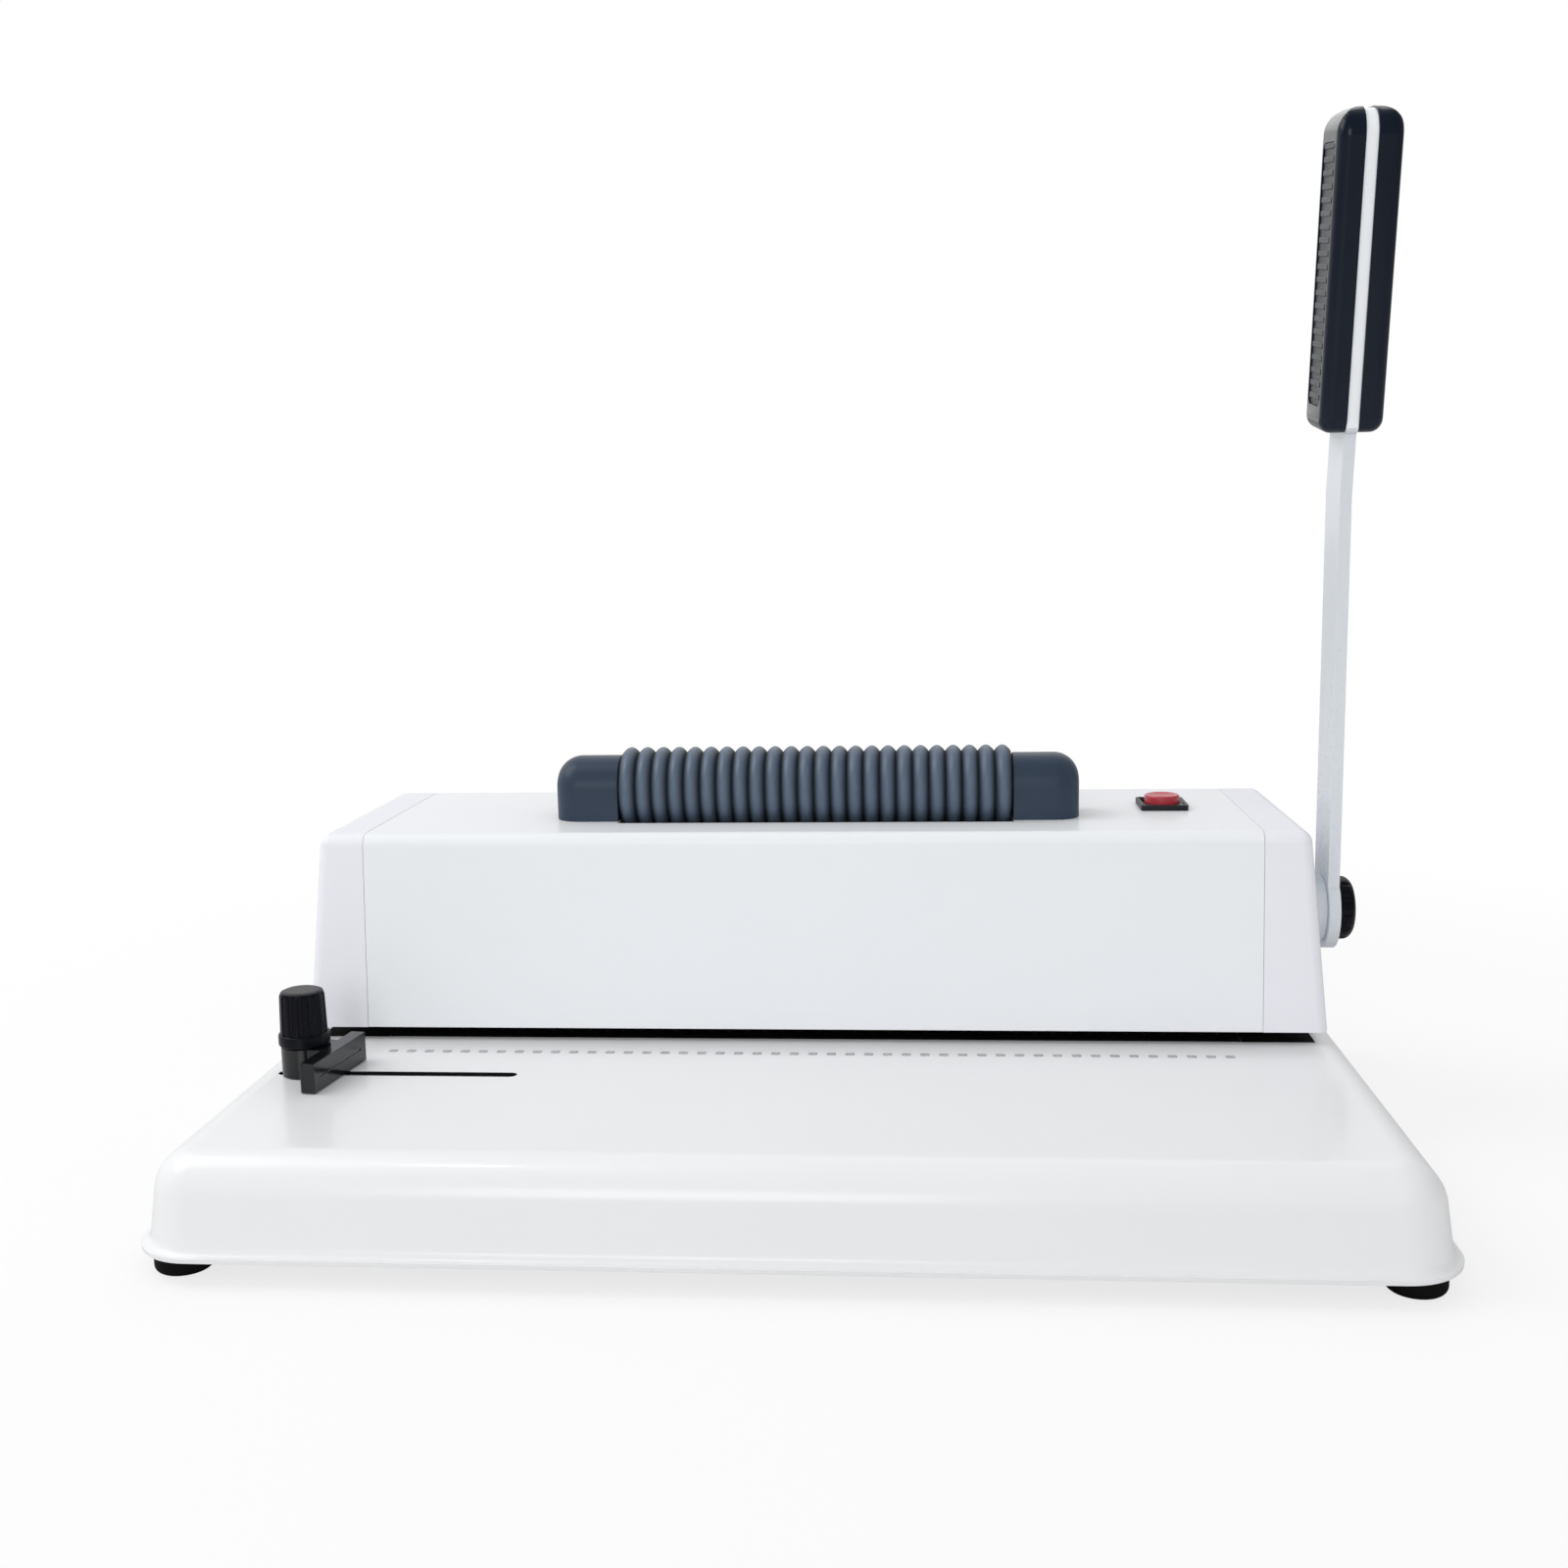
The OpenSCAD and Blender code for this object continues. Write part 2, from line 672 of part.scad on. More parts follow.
module shaft_bushes() {
    inner = shaft_d / 2 + run_gap;
    outer = shaft_d / 2 + bush_wall;
    color([0.72, 0.55, 0.3]) for (s = [0, 1]) mirror([s, 0, 0]) difference() {
        union() {
            bar_x_dir(frame_w / 2 - bush_flange_t, frame_w / 2, shaft_y, shaft_z, outer + bush_flange);
            bar_x_dir(frame_w / 2, frame_w / 2 + side_t, shaft_y, shaft_z, outer);
        }
        bar_x_dir(frame_w / 2 - bush_flange_t - over, frame_w / 2 + side_t + over, shaft_y, shaft_z, inner);
    }
}

module guide_posts() {
    color([0.75, 0.76, 0.78]) for (s = [-1, 1]) bar_z_dir(body_z, post_top, s * post_span / 2, post_y, post_d / 2);
}

// Helical wire standing on z = 0
module coil(r, wire_r, turns, h) {
    sides = 6;
    rings_per_turn = 10;
    n = turns * rings_per_turn;
    points = [for (i = [0 : n]) let (a = 360 * i / rings_per_turn, z = wire_r + (h - 2 * wire_r) * i / n)
        for (j = [0 : sides - 1]) let (b = 360 * j / sides, rr = r + wire_r * cos(b))
            [rr * cos(a), rr * sin(a), z + wire_r * sin(b)]];
    walls = [for (i = [0 : n - 1], j = [0 : sides - 1]) let (p = i * sides + j, q = i * sides + (j + 1) % sides)
        each [[p, p + sides, q + sides], [p, q + sides, q]]];
    first = [[for (j = [0 : sides - 1]) j]];
    last = [[for (j = [sides - 1 : -1 : 0]) n * sides + j]];
    polyhedron(points, concat(walls, first, last));
}

module return_springs() {
    gap = 0.2;
    color([0.7, 0.7, 0.72]) for (s = [-1, 1]) translate([s * post_span / 2, post_y, guide_top + gap])
        coil(spring_r, spring_wire, spring_turns, beam_z - guide_top - 2 * gap);
}

// Outline of the body seen from the side, a given distance inside its surface
module body_outline(inset) {
    r = max(edge_r - inset, 0.6);
    top = body_top - inset;
    front = front_y + inset / cos(lean_a);
    c = [front + (top - r - body_z) * tan(lean_a) + r / cos(lean_a), top - r];
    polygon(concat([[front, body_z]], arc(c, r, 180 - lean_a, 90), [[rear_y - inset, top], [rear_y - inset, body_z]]));
}

module cover() {
    x = seam_x - seam_gap / 2;
    color([0.9, 0.905, 0.925]) difference() {
        along_x(-x, x) body_outline(0);
        along_x(-x - over, x + over) cover_inside();
        block([roller_x - housing_x, roller_y - rib_r, under_cover - over],
            [roller_x + housing_x, roller_y + rib_r, body_top + over]);
        block([pulley_x0 - slot_play, roller_y - housing_r + housing_wall, under_cover - over],
            [pulley_x0 + pulley_w + slot_play, roller_y + housing_r - housing_wall, body_top + over]);
        block([button_x - bezel_w / 2 + bezel_wall, button_y - bezel_d / 2 + bezel_wall, under_cover - over],
            [button_x + bezel_w / 2 - bezel_wall, button_y + bezel_d / 2 - bezel_wall, body_top + over]);
    }
}

// Inside of the sheet cover, open below and behind
module cover_inside() {
    front = front_y + cover_t / cos(lean_a);
    body_outline(cover_t);
    translate([front, body_z - over]) square([body_d, 2 * over]);
    translate([rear_y - 2 * cover_t, body_z - over]) square([2 * cover_t + over, under_cover - body_z + over]);
}

end_screw_d = 4;
end_head_d = 7.5;
end_boss_d = 10;
// Puts a child at each screw through an end cover, as (Y, Z)
module end_screw_places() {
    for (p = [[front_y + 30, body_top - 14], [rear_y - 16, body_top - 14], [rear_y - 16, body_z + 14]])
        translate([0, p[0], p[1]]) children();
}

// Outline of the right end cover seen from the front, a given distance inside its surface
module end_outline(inset) {
    r = max(edge_r - inset, 0.6);
    top = body_top - inset;
    slope = end_lean / (body_top - body_z);
    side = body_half - inset * sqrt(1 + slope * slope);
    tilt = atan(slope);
    c = [side - slope * (top - r - body_z) - r / cos(tilt), top - r];
    polygon(concat([[0, body_z - over], [side + slope * over, body_z - over]], arc(c, r, tilt, 90), [[0, top]]));
}

module end_shell(inset) {
    intersection() {
        along_x(seam_x + seam_gap / 2 - (inset > 0 ? over : 0), body_half + over) union() {
            body_outline(inset);
            if (inset > 0) translate([front_y + inset, body_z - over]) square([body_d - 2 * inset, 2 * over]);
        }
        along_y(front_y - over, rear_y + over) end_outline(inset);
    }
}

// End cover on the right
module end_cover(hole_r) {
    plate_face = frame_w / 2 + side_t;
    head_floor = top_half - 5;
    color([0.875, 0.88, 0.91]) difference() {
        union() {
            difference() {
                end_shell(0);
                end_shell(end_wall);
            }
            intersection() {
                end_screw_places() bar_x_dir(plate_face, body_half, 0, 0, end_boss_d / 2);
                union() {
                    end_shell(0);
                    block([plate_face, front_y + end_wall + 1, body_z],
                        [seam_x + over, rear_face - 1, under_cover - 1]);
                }
            }
        }
        end_screw_places() bar_x_dir(plate_face - over, body_half, 0, 0, end_screw_d / 2 + fit_gap);
        end_screw_places() bar_x_dir(head_floor, body_half + over, 0, 0, end_head_d / 2 + fit_gap);
        if (hole_r > 0) bar_x_dir(seam_x, body_half + over, shaft_y, shaft_z, hole_r);
    }
}

module right_end_cover() {
    end_cover(shaft_d / 2 + 0.8);
}

module left_end_cover() {
    mirror([1, 0, 0]) end_cover(0);
}

module end_cover_screws() {
    head_floor = top_half - 5;
    color([0.6, 0.6, 0.62]) for (s = [0, 1]) mirror([s, 0, 0]) end_screw_places() {
        bar_x_dir(frame_w / 2 - 2, head_floor, 0, 0, end_screw_d / 2);
        bar_x_dir(head_floor, head_floor + 2.6, 0, 0, end_head_d / 2);
    }
}

rear_screw_d = 3;
rear_screw_x = frame_w / 2 - flange_w / 2;
rear_screw_low = 18;
rear_screw_drop = 12;
rear_screws_z = [plate_z + rear_screw_low, under_cover - rear_screw_drop];
vent_x0 = 20;
vent_pitch = 8;
vent_count = 10;
vent_w = 3;
vent_low = 18;
vent_high = 44;
module rear_cover() {
    x = seam_x - seam_gap / 2;
    color([0.9, 0.905, 0.925]) difference() {
        block([-x, rear_face, body_z], [x, rear_y, under_cover]);
        for (s = [-1, 1], z = rear_screws_z)
            bar_y_dir(rear_face - over, rear_y + over, s * rear_screw_x, z, rear_screw_d / 2 + fit_gap);
        block([inlet_x - inlet_w / 2, rear_face - over, inlet_z - inlet_ht / 2],
            [inlet_x + inlet_w / 2, rear_y + over, inlet_z + inlet_ht / 2]);
        for (k = [0 : vent_count - 1]) let (v = vent_x0 + k * vent_pitch)
            block([v, rear_face - over, body_z + vent_low], [v + vent_w, rear_y + over, body_z + vent_high]);
    }
}

module rear_screws() {
    color([0.6, 0.6, 0.62]) for (s = [-1, 1], z = rear_screws_z) {
        bar_y_dir(rear_face - side_t - 2, rear_y, s * rear_screw_x, z, rear_screw_d / 2);
        bar_y_dir(rear_y, rear_y + 1.8, s * rear_screw_x, z, 3);
    }
}

// Three-pole appliance inlet
module power_inlet() {
    cup_wall = 1.5;
    blade_w = 2;
    blade_h = 4;
    blade_back = 5;
    color([0.06, 0.06, 0.07]) {
        difference() {
            union() {
                block([inlet_x - inlet_w / 2 + fit_gap, rear_y - inlet_depth, inlet_z - inlet_ht / 2 + fit_gap],
                    [inlet_x + inlet_w / 2 - fit_gap, rear_y, inlet_z + inlet_ht / 2 - fit_gap]);
                translate([inlet_x, 0, inlet_z]) along_y(rear_y, rear_y + 2)
                    round_rect(inlet_w + 2 * inlet_rim, inlet_ht + 2 * inlet_rim, 2.5);
            }
            translate([inlet_x, 0, inlet_z]) along_y(rear_y - inlet_depth + 2, rear_y + 2 + over)
                polygon([[-inlet_w / 2 + cup_wall, -inlet_ht / 2 + cup_wall + 4],
                    [-inlet_w / 2 + cup_wall + 4, -inlet_ht / 2 + cup_wall],
                    [inlet_w / 2 - cup_wall - 4, -inlet_ht / 2 + cup_wall],
                    [inlet_w / 2 - cup_wall, -inlet_ht / 2 + cup_wall + 4],
                    [inlet_w / 2 - cup_wall, inlet_ht / 2 - cup_wall],
                    [-inlet_w / 2 + cup_wall, inlet_ht / 2 - cup_wall]]);
        }
        for (p = [[-7, -2], [7, -2], [0, 2]]) translate([inlet_x + p[0], 0, inlet_z + p[1]])
            block([-blade_w / 2, rear_y - inlet_depth, -blade_h / 2], [blade_w / 2, rear_y - blade_back, blade_h / 2]);
    }
}

// End housing of the roller, on the right: round top, rounded outer edges, hollow with a web for the bush
module roller_housing_shape(inset) {
    x0 = roller_x + housing_x + (inset > 0 ? web_t : 0);
    x1 = roller_x + housing_x + housing_l - inset;
    r = housing_r - inset;
    corner = housing_corner - inset;
    edge = housing_edge - inset;
    top = roller_z + housing_r - inset;
    floor_z = body_top - (inset > 0 ? over : 0);
    intersection() {
        along_x(x0, x1) union() {
            translate([roller_y, roller_z]) circle(r);
            translate([roller_y - r, floor_z]) square([2 * r, roller_z - floor_z]);
        }
        along_y(roller_y - rib_r, roller_y + rib_r) polygon(concat(
            [[x0, floor_z], [x1, floor_z]], arc([x1 - corner, top - corner], corner, 0, 90), [[x0, top]]));
        translate([0, 0, floor_z]) linear_extrude(top - floor_z) polygon(concat(
            [[x0, roller_y + r], [x0, roller_y - r]], arc([x1 - edge, roller_y - r + edge], edge, -90, 0),
            arc([x1 - edge, roller_y + r - edge], edge, 0, 90)));
    }
}

module roller_housing() {
    color([0.23, 0.27, 0.32]) difference() {
        roller_housing_shape(0);
        roller_housing_shape(housing_wall);
        bar_x_dir(roller_x + housing_x - over, roller_x + housing_x + web_t + over, roller_y, roller_z,
            roller_shaft_d / 2 + roller_bush_wall + fit_gap);
    }
}

module right_roller_housing() {
    roller_housing();
}

module left_roller_housing() {
    translate([2 * roller_x, 0, 0]) mirror([1, 0, 0]) roller_housing();
}

module roller_bushes() {
    outer = roller_shaft_d / 2 + roller_bush_wall;
    x0 = roller_x + housing_x;
    color([0.72, 0.55, 0.3]) for (s = [0, 1]) translate([s * 2 * roller_x, 0, 0]) mirror([s, 0, 0]) difference() {
        union() {
            bar_x_dir(x0, x0 + web_t, roller_y, roller_z, outer);
            bar_x_dir(x0 + web_t, x0 + web_t + 1.5, roller_y, roller_z, outer + 1.2);
        }
        bar_x_dir(x0 - over, x0 + web_t + 1.5 + over, roller_y, roller_z, roller_shaft_d / 2 + run_gap);
    }
}

module motor() {
    tail = 4;
    color([0.62, 0.63, 0.65]) difference() {
        union() {
            bar_x_dir(bracket_x - motor_l, bracket_x, motor_y, motor_z, motor_r);
            bar_x_dir(bracket_x, bracket_x + bracket_t + motor_boss_h, motor_y, motor_z, motor_boss_r);
            bar_x_dir(bracket_x - motor_l - tail, bracket_x - motor_l, motor_y, motor_z, motor_boss_r + 1);
        }
        bar_x_dir(bracket_x - 12, bracket_x + bracket_t + motor_boss_h + over, motor_y, motor_z,
            motor_shaft_d / 2 + run_gap);
        for (s = [-1, 1]) bar_x_dir(bracket_x - 5, bracket_x + over, motor_y + s * motor_screw_r, motor_z,
            motor_screw_d / 2 + fit_gap);
    }
}

// Plate that hangs from the cover's underside and carries the motor
module motor_bracket() {
    flange_l = 18;
    flange_y = roller_y + rib_r + 1;
    flange_d = 11;
    low = motor_z - motor_boss_r - 3;
    color([0.66, 0.67, 0.69]) difference() {
        union() {
            block([bracket_x, motor_y - motor_r - 0.5, low], [bracket_x + bracket_t, flange_y + flange_d, under_cover]);
            block([bracket_x - flange_l, flange_y, under_cover - bracket_t], [bracket_x, flange_y + flange_d, under_cover]);
        }
        bar_x_dir(bracket_x - over, bracket_x + bracket_t + over, motor_y, motor_z, motor_boss_r + fit_gap);
        for (s = [-1, 1]) bar_x_dir(bracket_x - over, bracket_x + bracket_t + over, motor_y + s * motor_screw_r,
            motor_z, motor_screw_d / 2 + fit_gap);
    }
}

module motor_screws() {
    color([0.3, 0.3, 0.32]) for (s = [-1, 1]) {
        bar_x_dir(bracket_x - 4.5, bracket_x + bracket_t, motor_y + s * motor_screw_r, motor_z, motor_screw_d / 2);
        bar_x_dir(bracket_x + bracket_t, bracket_x + bracket_t + 1.2, motor_y + s * motor_screw_r, motor_z, 2.6);
    }
}

// Outline of a belt loop at a distance outside the pulleys, in the (Y, Z) plane
module belt_outline(out) {
    top = [roller_y, roller_z];
    low = [motor_y, motor_z];
    r1 = roller_pulley_r + out;
    r2 = motor_pulley_r + out;
    lag = acos((r1 - r2) / belt_len);
    translate(top) circle(r1);
    translate(low) circle(r2);
    polygon([top + r1 * heading(belt_a - lag), low + r2 * heading(belt_a - lag),
        low + r2 * heading(belt_a + lag), top + r1 * heading(belt_a + lag)]);
}

module drive_belt() {
    x0 = pulley_x0 + (pulley_w - belt_w) / 2;
    color([0.1, 0.1, 0.1]) along_x(x0, x0 + belt_w) difference() {
        belt_outline(belt_gap + belt_t);
        belt_outline(belt_gap);
    }
}

// Pulley on the X axis at (0, 0), with two thin flanges
module pulley(r, bore_r) {
    rim = 0.9;
    color([0.75, 0.75, 0.72]) difference() {
        union() {
            bar_x_dir(pulley_x0, pulley_x0 + pulley_w, 0, 0, r);
            for (x = [pulley_x0, pulley_x0 + pulley_w - rim]) bar_x_dir(x, x + rim, 0, 0, r + belt_gap + belt_t + 0.6);
        }
        bar_x_dir(pulley_x0 - over, pulley_x0 + pulley_w + over, 0, 0, bore_r);
    }
}

module roller_pulley() {
    translate([0, roller_y, roller_z]) pulley(roller_pulley_r, roller_shaft_d / 2 - 1 + fit_gap);
}

module motor_pulley() {
    translate([0, motor_y, motor_z]) pulley(motor_pulley_r, motor_shaft_d / 2 + fit_gap);
}

module motor_shaft() {
    color([0.7, 0.7, 0.72]) bar_x_dir(bracket_x - 11, pulley_x0 + pulley_w + 1, motor_y, motor_z, motor_shaft_d / 2);
}

module roller_shaft() {
    x0 = roller_x - housing_x - web_t - 5;
    x1 = pulley_x0 - 0.4;
    color([0.7, 0.7, 0.72]) {
        bar_x_dir(x0, x1, roller_y, roller_z, roller_shaft_d / 2);
        bar_x_dir(x1, pulley_x0 + pulley_w + 1.5, roller_y, roller_z, roller_shaft_d / 2 - 1);
    }
}

// Ribbed rubber sleeve: round ribs between round grooves
module roller_sleeve() {
    pitch = sleeve_l / rib_count;
    steps = 8;
    ribs = [for (k = [0 : rib_count * steps]) let (a = 360 * k / steps)
        [rib_r - rib_depth / 2 - rib_depth / 2 * cos(a), k * pitch / steps]];
    bore = roller_shaft_d / 2 + fit_gap;
    color([0.29, 0.34, 0.4]) translate([roller_x - sleeve_l / 2, roller_y, roller_z]) rotate([0, 90, 0])
        rotate_extrude() polygon(concat([[bore, 0]], ribs, [[bore, sleeve_l]]));
}

module button_bezel() {
    color([0.05, 0.05, 0.06]) difference() {
        union() {
            translate([button_x, button_y, body_top]) linear_extrude(bezel_h) round_rect(bezel_w, bezel_d, 1.5);
            translate([button_x, button_y, under_cover]) linear_extrude(cover_t)
                square([bezel_w - 2 * bezel_wall - 2 * switch_play, bezel_d - 2 * bezel_wall - 2 * switch_play], center = true);
        }
        bar_z_dir(under_cover - over, body_top + bezel_h + over, button_x, button_y, button_d / 2 + switch_play);
    }
}

module button_switch() {
    z1 = under_cover;
    z0 = z1 - switch_h;
    color([0.12, 0.12, 0.13]) difference() {
        block([button_x - bezel_w / 2 + 1, button_y - bezel_d / 2 + 1, z0],
            [button_x + bezel_w / 2 - 1, button_y + bezel_d / 2 - 1, z1]);
        bar_z_dir(z1 - button_travel - 2, z1 + over, button_x, button_y, button_d / 2 + switch_play);
    }
    color([0.75, 0.6, 0.3]) for (s = [-1, 1]) block([button_x + s * 3 - 0.4, button_y - 2.4, z0 - 7],
        [button_x + s * 3 + 0.4, button_y + 2.4, z0]);
}

// Push button with a dished top
module button_cap() {
    top = body_top + bezel_h + button_h;
    dish = 1;
    dish_r = (button_d * button_d / 4 * 0.72 + dish * dish) / (2 * dish);
    rim = 0.8;
    color([0.72, 0.16, 0.2]) translate([button_x, button_y, 0]) difference() {
        rotate_extrude() polygon(concat([[0, under_cover - 1.2], [button_d / 2, under_cover - 1.2]],
            arc([button_d / 2 - rim, top - rim], rim, 0, 90, 4), [[0, top]]));
        translate([0, 0, top - dish + dish_r]) sphere(dish_r);
    }
}

module drive_shaft() {
    color([0.7, 0.7, 0.72]) bar_x_dir(shaft_x0, shaft_x1, shaft_y, shaft_z, shaft_d / 2);
}

module drive_pinions() {
    color([0.55, 0.56, 0.58]) for (s = [-1, 1]) difference() {
        union() {
            along_x(s * pinion_span / 2 - gear_w / 2, s * pinion_span / 2 + gear_w / 2)
                translate([shaft_y, shaft_z]) rotate(180) gear_outline(gear_m, pinion_teeth, gear_play);
            bar_x_dir(s * pinion_span / 2 + gear_w / 2, s * pinion_span / 2 + gear_w / 2 + 6, shaft_y, shaft_z,
                shaft_d / 2 + 2.2);
        }
        bar_x_dir(s * pinion_span / 2 - gear_w, s * pinion_span / 2 + 2 * gear_w, shaft_y, shaft_z, shaft_d / 2 + fit_gap);
    }
}

hub_x = body_half - end_lean * (shaft_z - hub_r - body_z) / (body_top - body_z) + hub_gap;
module lever_hub() {
    color([0.8, 0.82, 0.84]) difference() {
        bar_x_dir(hub_x, bar_x, shaft_y, shaft_z, hub_r);
        bar_x_dir(hub_x - over, bar_x + over, shaft_y, shaft_z, shaft_d / 2 + fit_gap);
    }
}

// Moves a child from the grip's own frame to its place on the bent lever
module grip_place() {
    translate([bar_x + bar_t / 2, shaft_y, shaft_z + bend_h]) rotate([bend_a, 0, 0]) translate([0, 0, grip_start]) children();
}

// Side outline of the grip, a given distance inside its edge: (Y, Z) in the grip's frame, clockwise
function grip_points(inset, end_r) = let (d = grip_d / 2 - inset, l = grip_l - inset, t = grip_top_r - inset)
    concat(arc([-d + end_r, end_r], end_r, 270, 180, 4), arc([-d + t, l - t], t, 180, 90, 8),
        arc([d - t, l - t], t, 90, 0, 8), arc([d - end_r, end_r], end_r, 0, -90, 4));

// A point of the grip's frame in the (Y, Z) plane of the lever
function on_lever(p) = [shaft_y, shaft_z + bend_h]
    + p[0] * heading(bend_a) + (p[1] + grip_start) * heading(90 + bend_a);

module lever_bar() {
    half = bar_w / 2;
    mitre = half * tan(bend_a / 2);
    open_a = acos(half / bar_end_r);
    outline = concat(
        arc([shaft_y, shaft_z], bar_end_r, open_a, -180 - open_a, 24),
        [[shaft_y - half, shaft_z + bend_h - mitre], on_lever([-half, 0])],
        [for (p = grip_points(tang_inset, tang_end_r)) on_lever(p)],
        [on_lever([half, 0]), [shaft_y + half, shaft_z + bend_h + mitre]]);
    color([0.82, 0.84, 0.86]) difference() {
        along_x(bar_x, bar_x + bar_t) polygon(outline);
        bar_x_dir(bar_x - over, bar_x + bar_t + over, shaft_y, shaft_z, shaft_d / 2 + fit_gap);
        grip_place() for (z = grip_screws_z) bar_x_dir(-bar_t, bar_t, 0, z, grip_screw_d / 2 + fit_gap);
    }
}

// One grip scale on the outer side: flat front edges, a rounder back
module grip_scale() {
    x0 = bar_t / 2;
    x1 = x0 + scale_t;
    d = grip_d / 2;
    intersection() {
        along_x(x0, x1) polygon(grip_points(0, grip_end_r));
        linear_extrude(grip_l) polygon(concat([[x0, -d]], arc([x1 - grip_front_r, -d + grip_front_r], grip_front_r, -90, 0),
            arc([x1 - grip_back_r, d - grip_back_r], grip_back_r, 0, 90), [[x0, d]]));
        along_y(-d, d) polygon(concat([[x0, 0]], arc([x1 - grip_end_r, grip_end_r], grip_end_r, -90, 0),
            arc([x1 - grip_side_r, grip_l - grip_side_r], grip_side_r, 0, 90), [[x0, grip_l]]));
    }
}

module outer_grip_scale() {
    head_floor = bar_t / 2 + scale_t - 3;
    color([0.12, 0.15, 0.19]) grip_place() difference() {
        grip_scale();
        for (z = grip_screws_z) {
            bar_x_dir(0, head_floor + over, 0, z, grip_screw_d / 2 + fit_gap);
            bar_x_dir(head_floor, bar_t + scale_t, 0, z, grip_head_d / 2 + fit_gap);
        }
    }
}

module inner_grip_scale() {
    color([0.12, 0.15, 0.19]) grip_place() difference() {
        mirror([1, 0, 0]) grip_scale();
        for (z = grip_screws_z) bar_x_dir(-bar_t / 2 - 6 - fit_gap, 0, 0, z, grip_screw_d / 2 + fit_gap);
    }
}

module grip_screws() {
    head_floor = bar_t / 2 + scale_t - 3;
    color([0.6, 0.6, 0.62]) grip_place() for (z = grip_screws_z) {
        bar_x_dir(-bar_t / 2 - 6, head_floor, 0, z, grip_screw_d / 2);
        bar_x_dir(head_floor, head_floor + 2.4, 0, z, grip_head_d / 2);
    }
}

// Clamping knob on the threaded end of the shaft: domed, with shallow finger flutes
module lever_knob() {
    x0 = bar_x + bar_t + run_gap;
    r = lever_knob_d / 2;
    dome = 3.4;
    flutes = 12;
    color([0.14, 0.15, 0.2]) difference() {
        translate([x0, shaft_y, shaft_z]) rotate([0, 90, 0]) rotate_extrude() polygon(concat(
            [[0, 0], [r, 0]], arc([r - dome, lever_knob_t - dome], dome, 0, 75, 5), [[0, lever_knob_t]]));
        bar_x_dir(x0 - over, shaft_x1 + 0.4, shaft_y, shaft_z, shaft_d / 2 + run_gap);
        for (k = [0 : flutes - 1]) translate([0, shaft_y, shaft_z]) rotate([360 * k / flutes, 0, 0])
            bar_x_dir(x0 + 1.6, x0 + lever_knob_t + over, 0, r + 1, 1.6);
    }
}

module punch_beam() {
    color([0.58, 0.59, 0.61]) difference() {
        union() {
            block([-beam_x, beam_y0, beam_z], [beam_x, beam_y1, beam_top]);
            for (s = [-1, 1]) block([s * post_span / 2 - ear_l / 2, beam_y1, beam_z],
                [s * post_span / 2 + ear_l / 2, beam_y1 + ear_d, beam_z + ear_h]);
        }
        for (s = [-1, 1]) bar_z_dir(beam_z - over, beam_z + ear_h + over, s * post_span / 2, post_y, post_d / 2 + run_gap);
        for (x = beam_screws_x) bar_z_dir(beam_z - over, beam_top + over, x, beam_screw_y, beam_screw_d / 2 + fit_gap);
    }
}

module pin_plate() {
    color([0.62, 0.63, 0.65]) difference() {
        block([-beam_x, beam_y0, pin_plate_z], [beam_x, beam_y1, pin_plate_top + pin_head_h]);
        hole_row() bar_z_dir(pin_plate_z - over, pin_plate_top + over, 0, 0, pin_d / 2 + fit_gap);
        block([-beam_x - over, hole_y - pin_head_d / 2 - fit_gap, pin_plate_top],
            [beam_x + over, hole_y + pin_head_d / 2 + fit_gap, beam_z + over]);
        for (x = beam_screws_x) bar_z_dir(pin_plate_z - over, beam_z + over, x, beam_screw_y, beam_screw_d / 2 + fit_gap);
    }
}

module punch_pins() {
    color([0.78, 0.79, 0.8]) hole_row() {
        bar_z_dir(pin_tip_z, pin_plate_top, 0, 0, pin_d / 2);
        bar_z_dir(pin_plate_top, beam_z, 0, 0, pin_head_d / 2);
    }
}

// Rack behind the beam: its teeth face the pinion, with a space level with the shaft
module punch_racks() {
    half = rack_pitch / 4 - gear_play;
    rise = tan(20);
    tip = half - gear_m * rise;
    root = half + 1.25 * gear_m * rise;
    teeth = [for (k = [0 : rack_teeth - 1]) let (z = shaft_z + (k - 1.5) * rack_pitch) each [
        [rack_y - 1.25 * gear_m, z - root], [rack_y + gear_m, z - tip],
        [rack_y + gear_m, z + tip], [rack_y - 1.25 * gear_m, z + root]]];
    low = shaft_z - 2 * rack_pitch;
    high = shaft_z + (rack_teeth - 2) * rack_pitch;
    color([0.55, 0.56, 0.58]) for (s = [-1, 1]) along_x(s * pinion_span / 2 - gear_w / 2, s * pinion_span / 2 + gear_w / 2)
        polygon(concat([[beam_y1, low], [rack_y - 1.25 * gear_m, low]], teeth,
            [[rack_y - 1.25 * gear_m, high], [beam_y1, high]]));
}

module beam_screws() {
    color([0.3, 0.3, 0.32]) for (x = beam_screws_x) {
        bar_z_dir(pin_plate_z, beam_top, x, beam_screw_y, beam_screw_d / 2);
        bar_z_dir(beam_top, beam_top + 2, x, beam_screw_y, 2.8);
    }
}

module guide_bolt() {
    z1 = sheet_z - guide_gap;
    neck = slot_w - 2 * guide_gap;
    color([0.6, 0.6, 0.62]) translate([guide_x, slot_y, 0]) {
        bar_z_dir(z1 - bolt_head_h, z1, 0, 0, bolt_head_d / 2);
        block([-neck / 2, -neck / 2, z1], [neck / 2, neck / 2, plate_z]);
        bar_z_dir(plate_z, knob_z + guide_knob_h - 3, 0, 0, bolt_d / 2);
    }
}

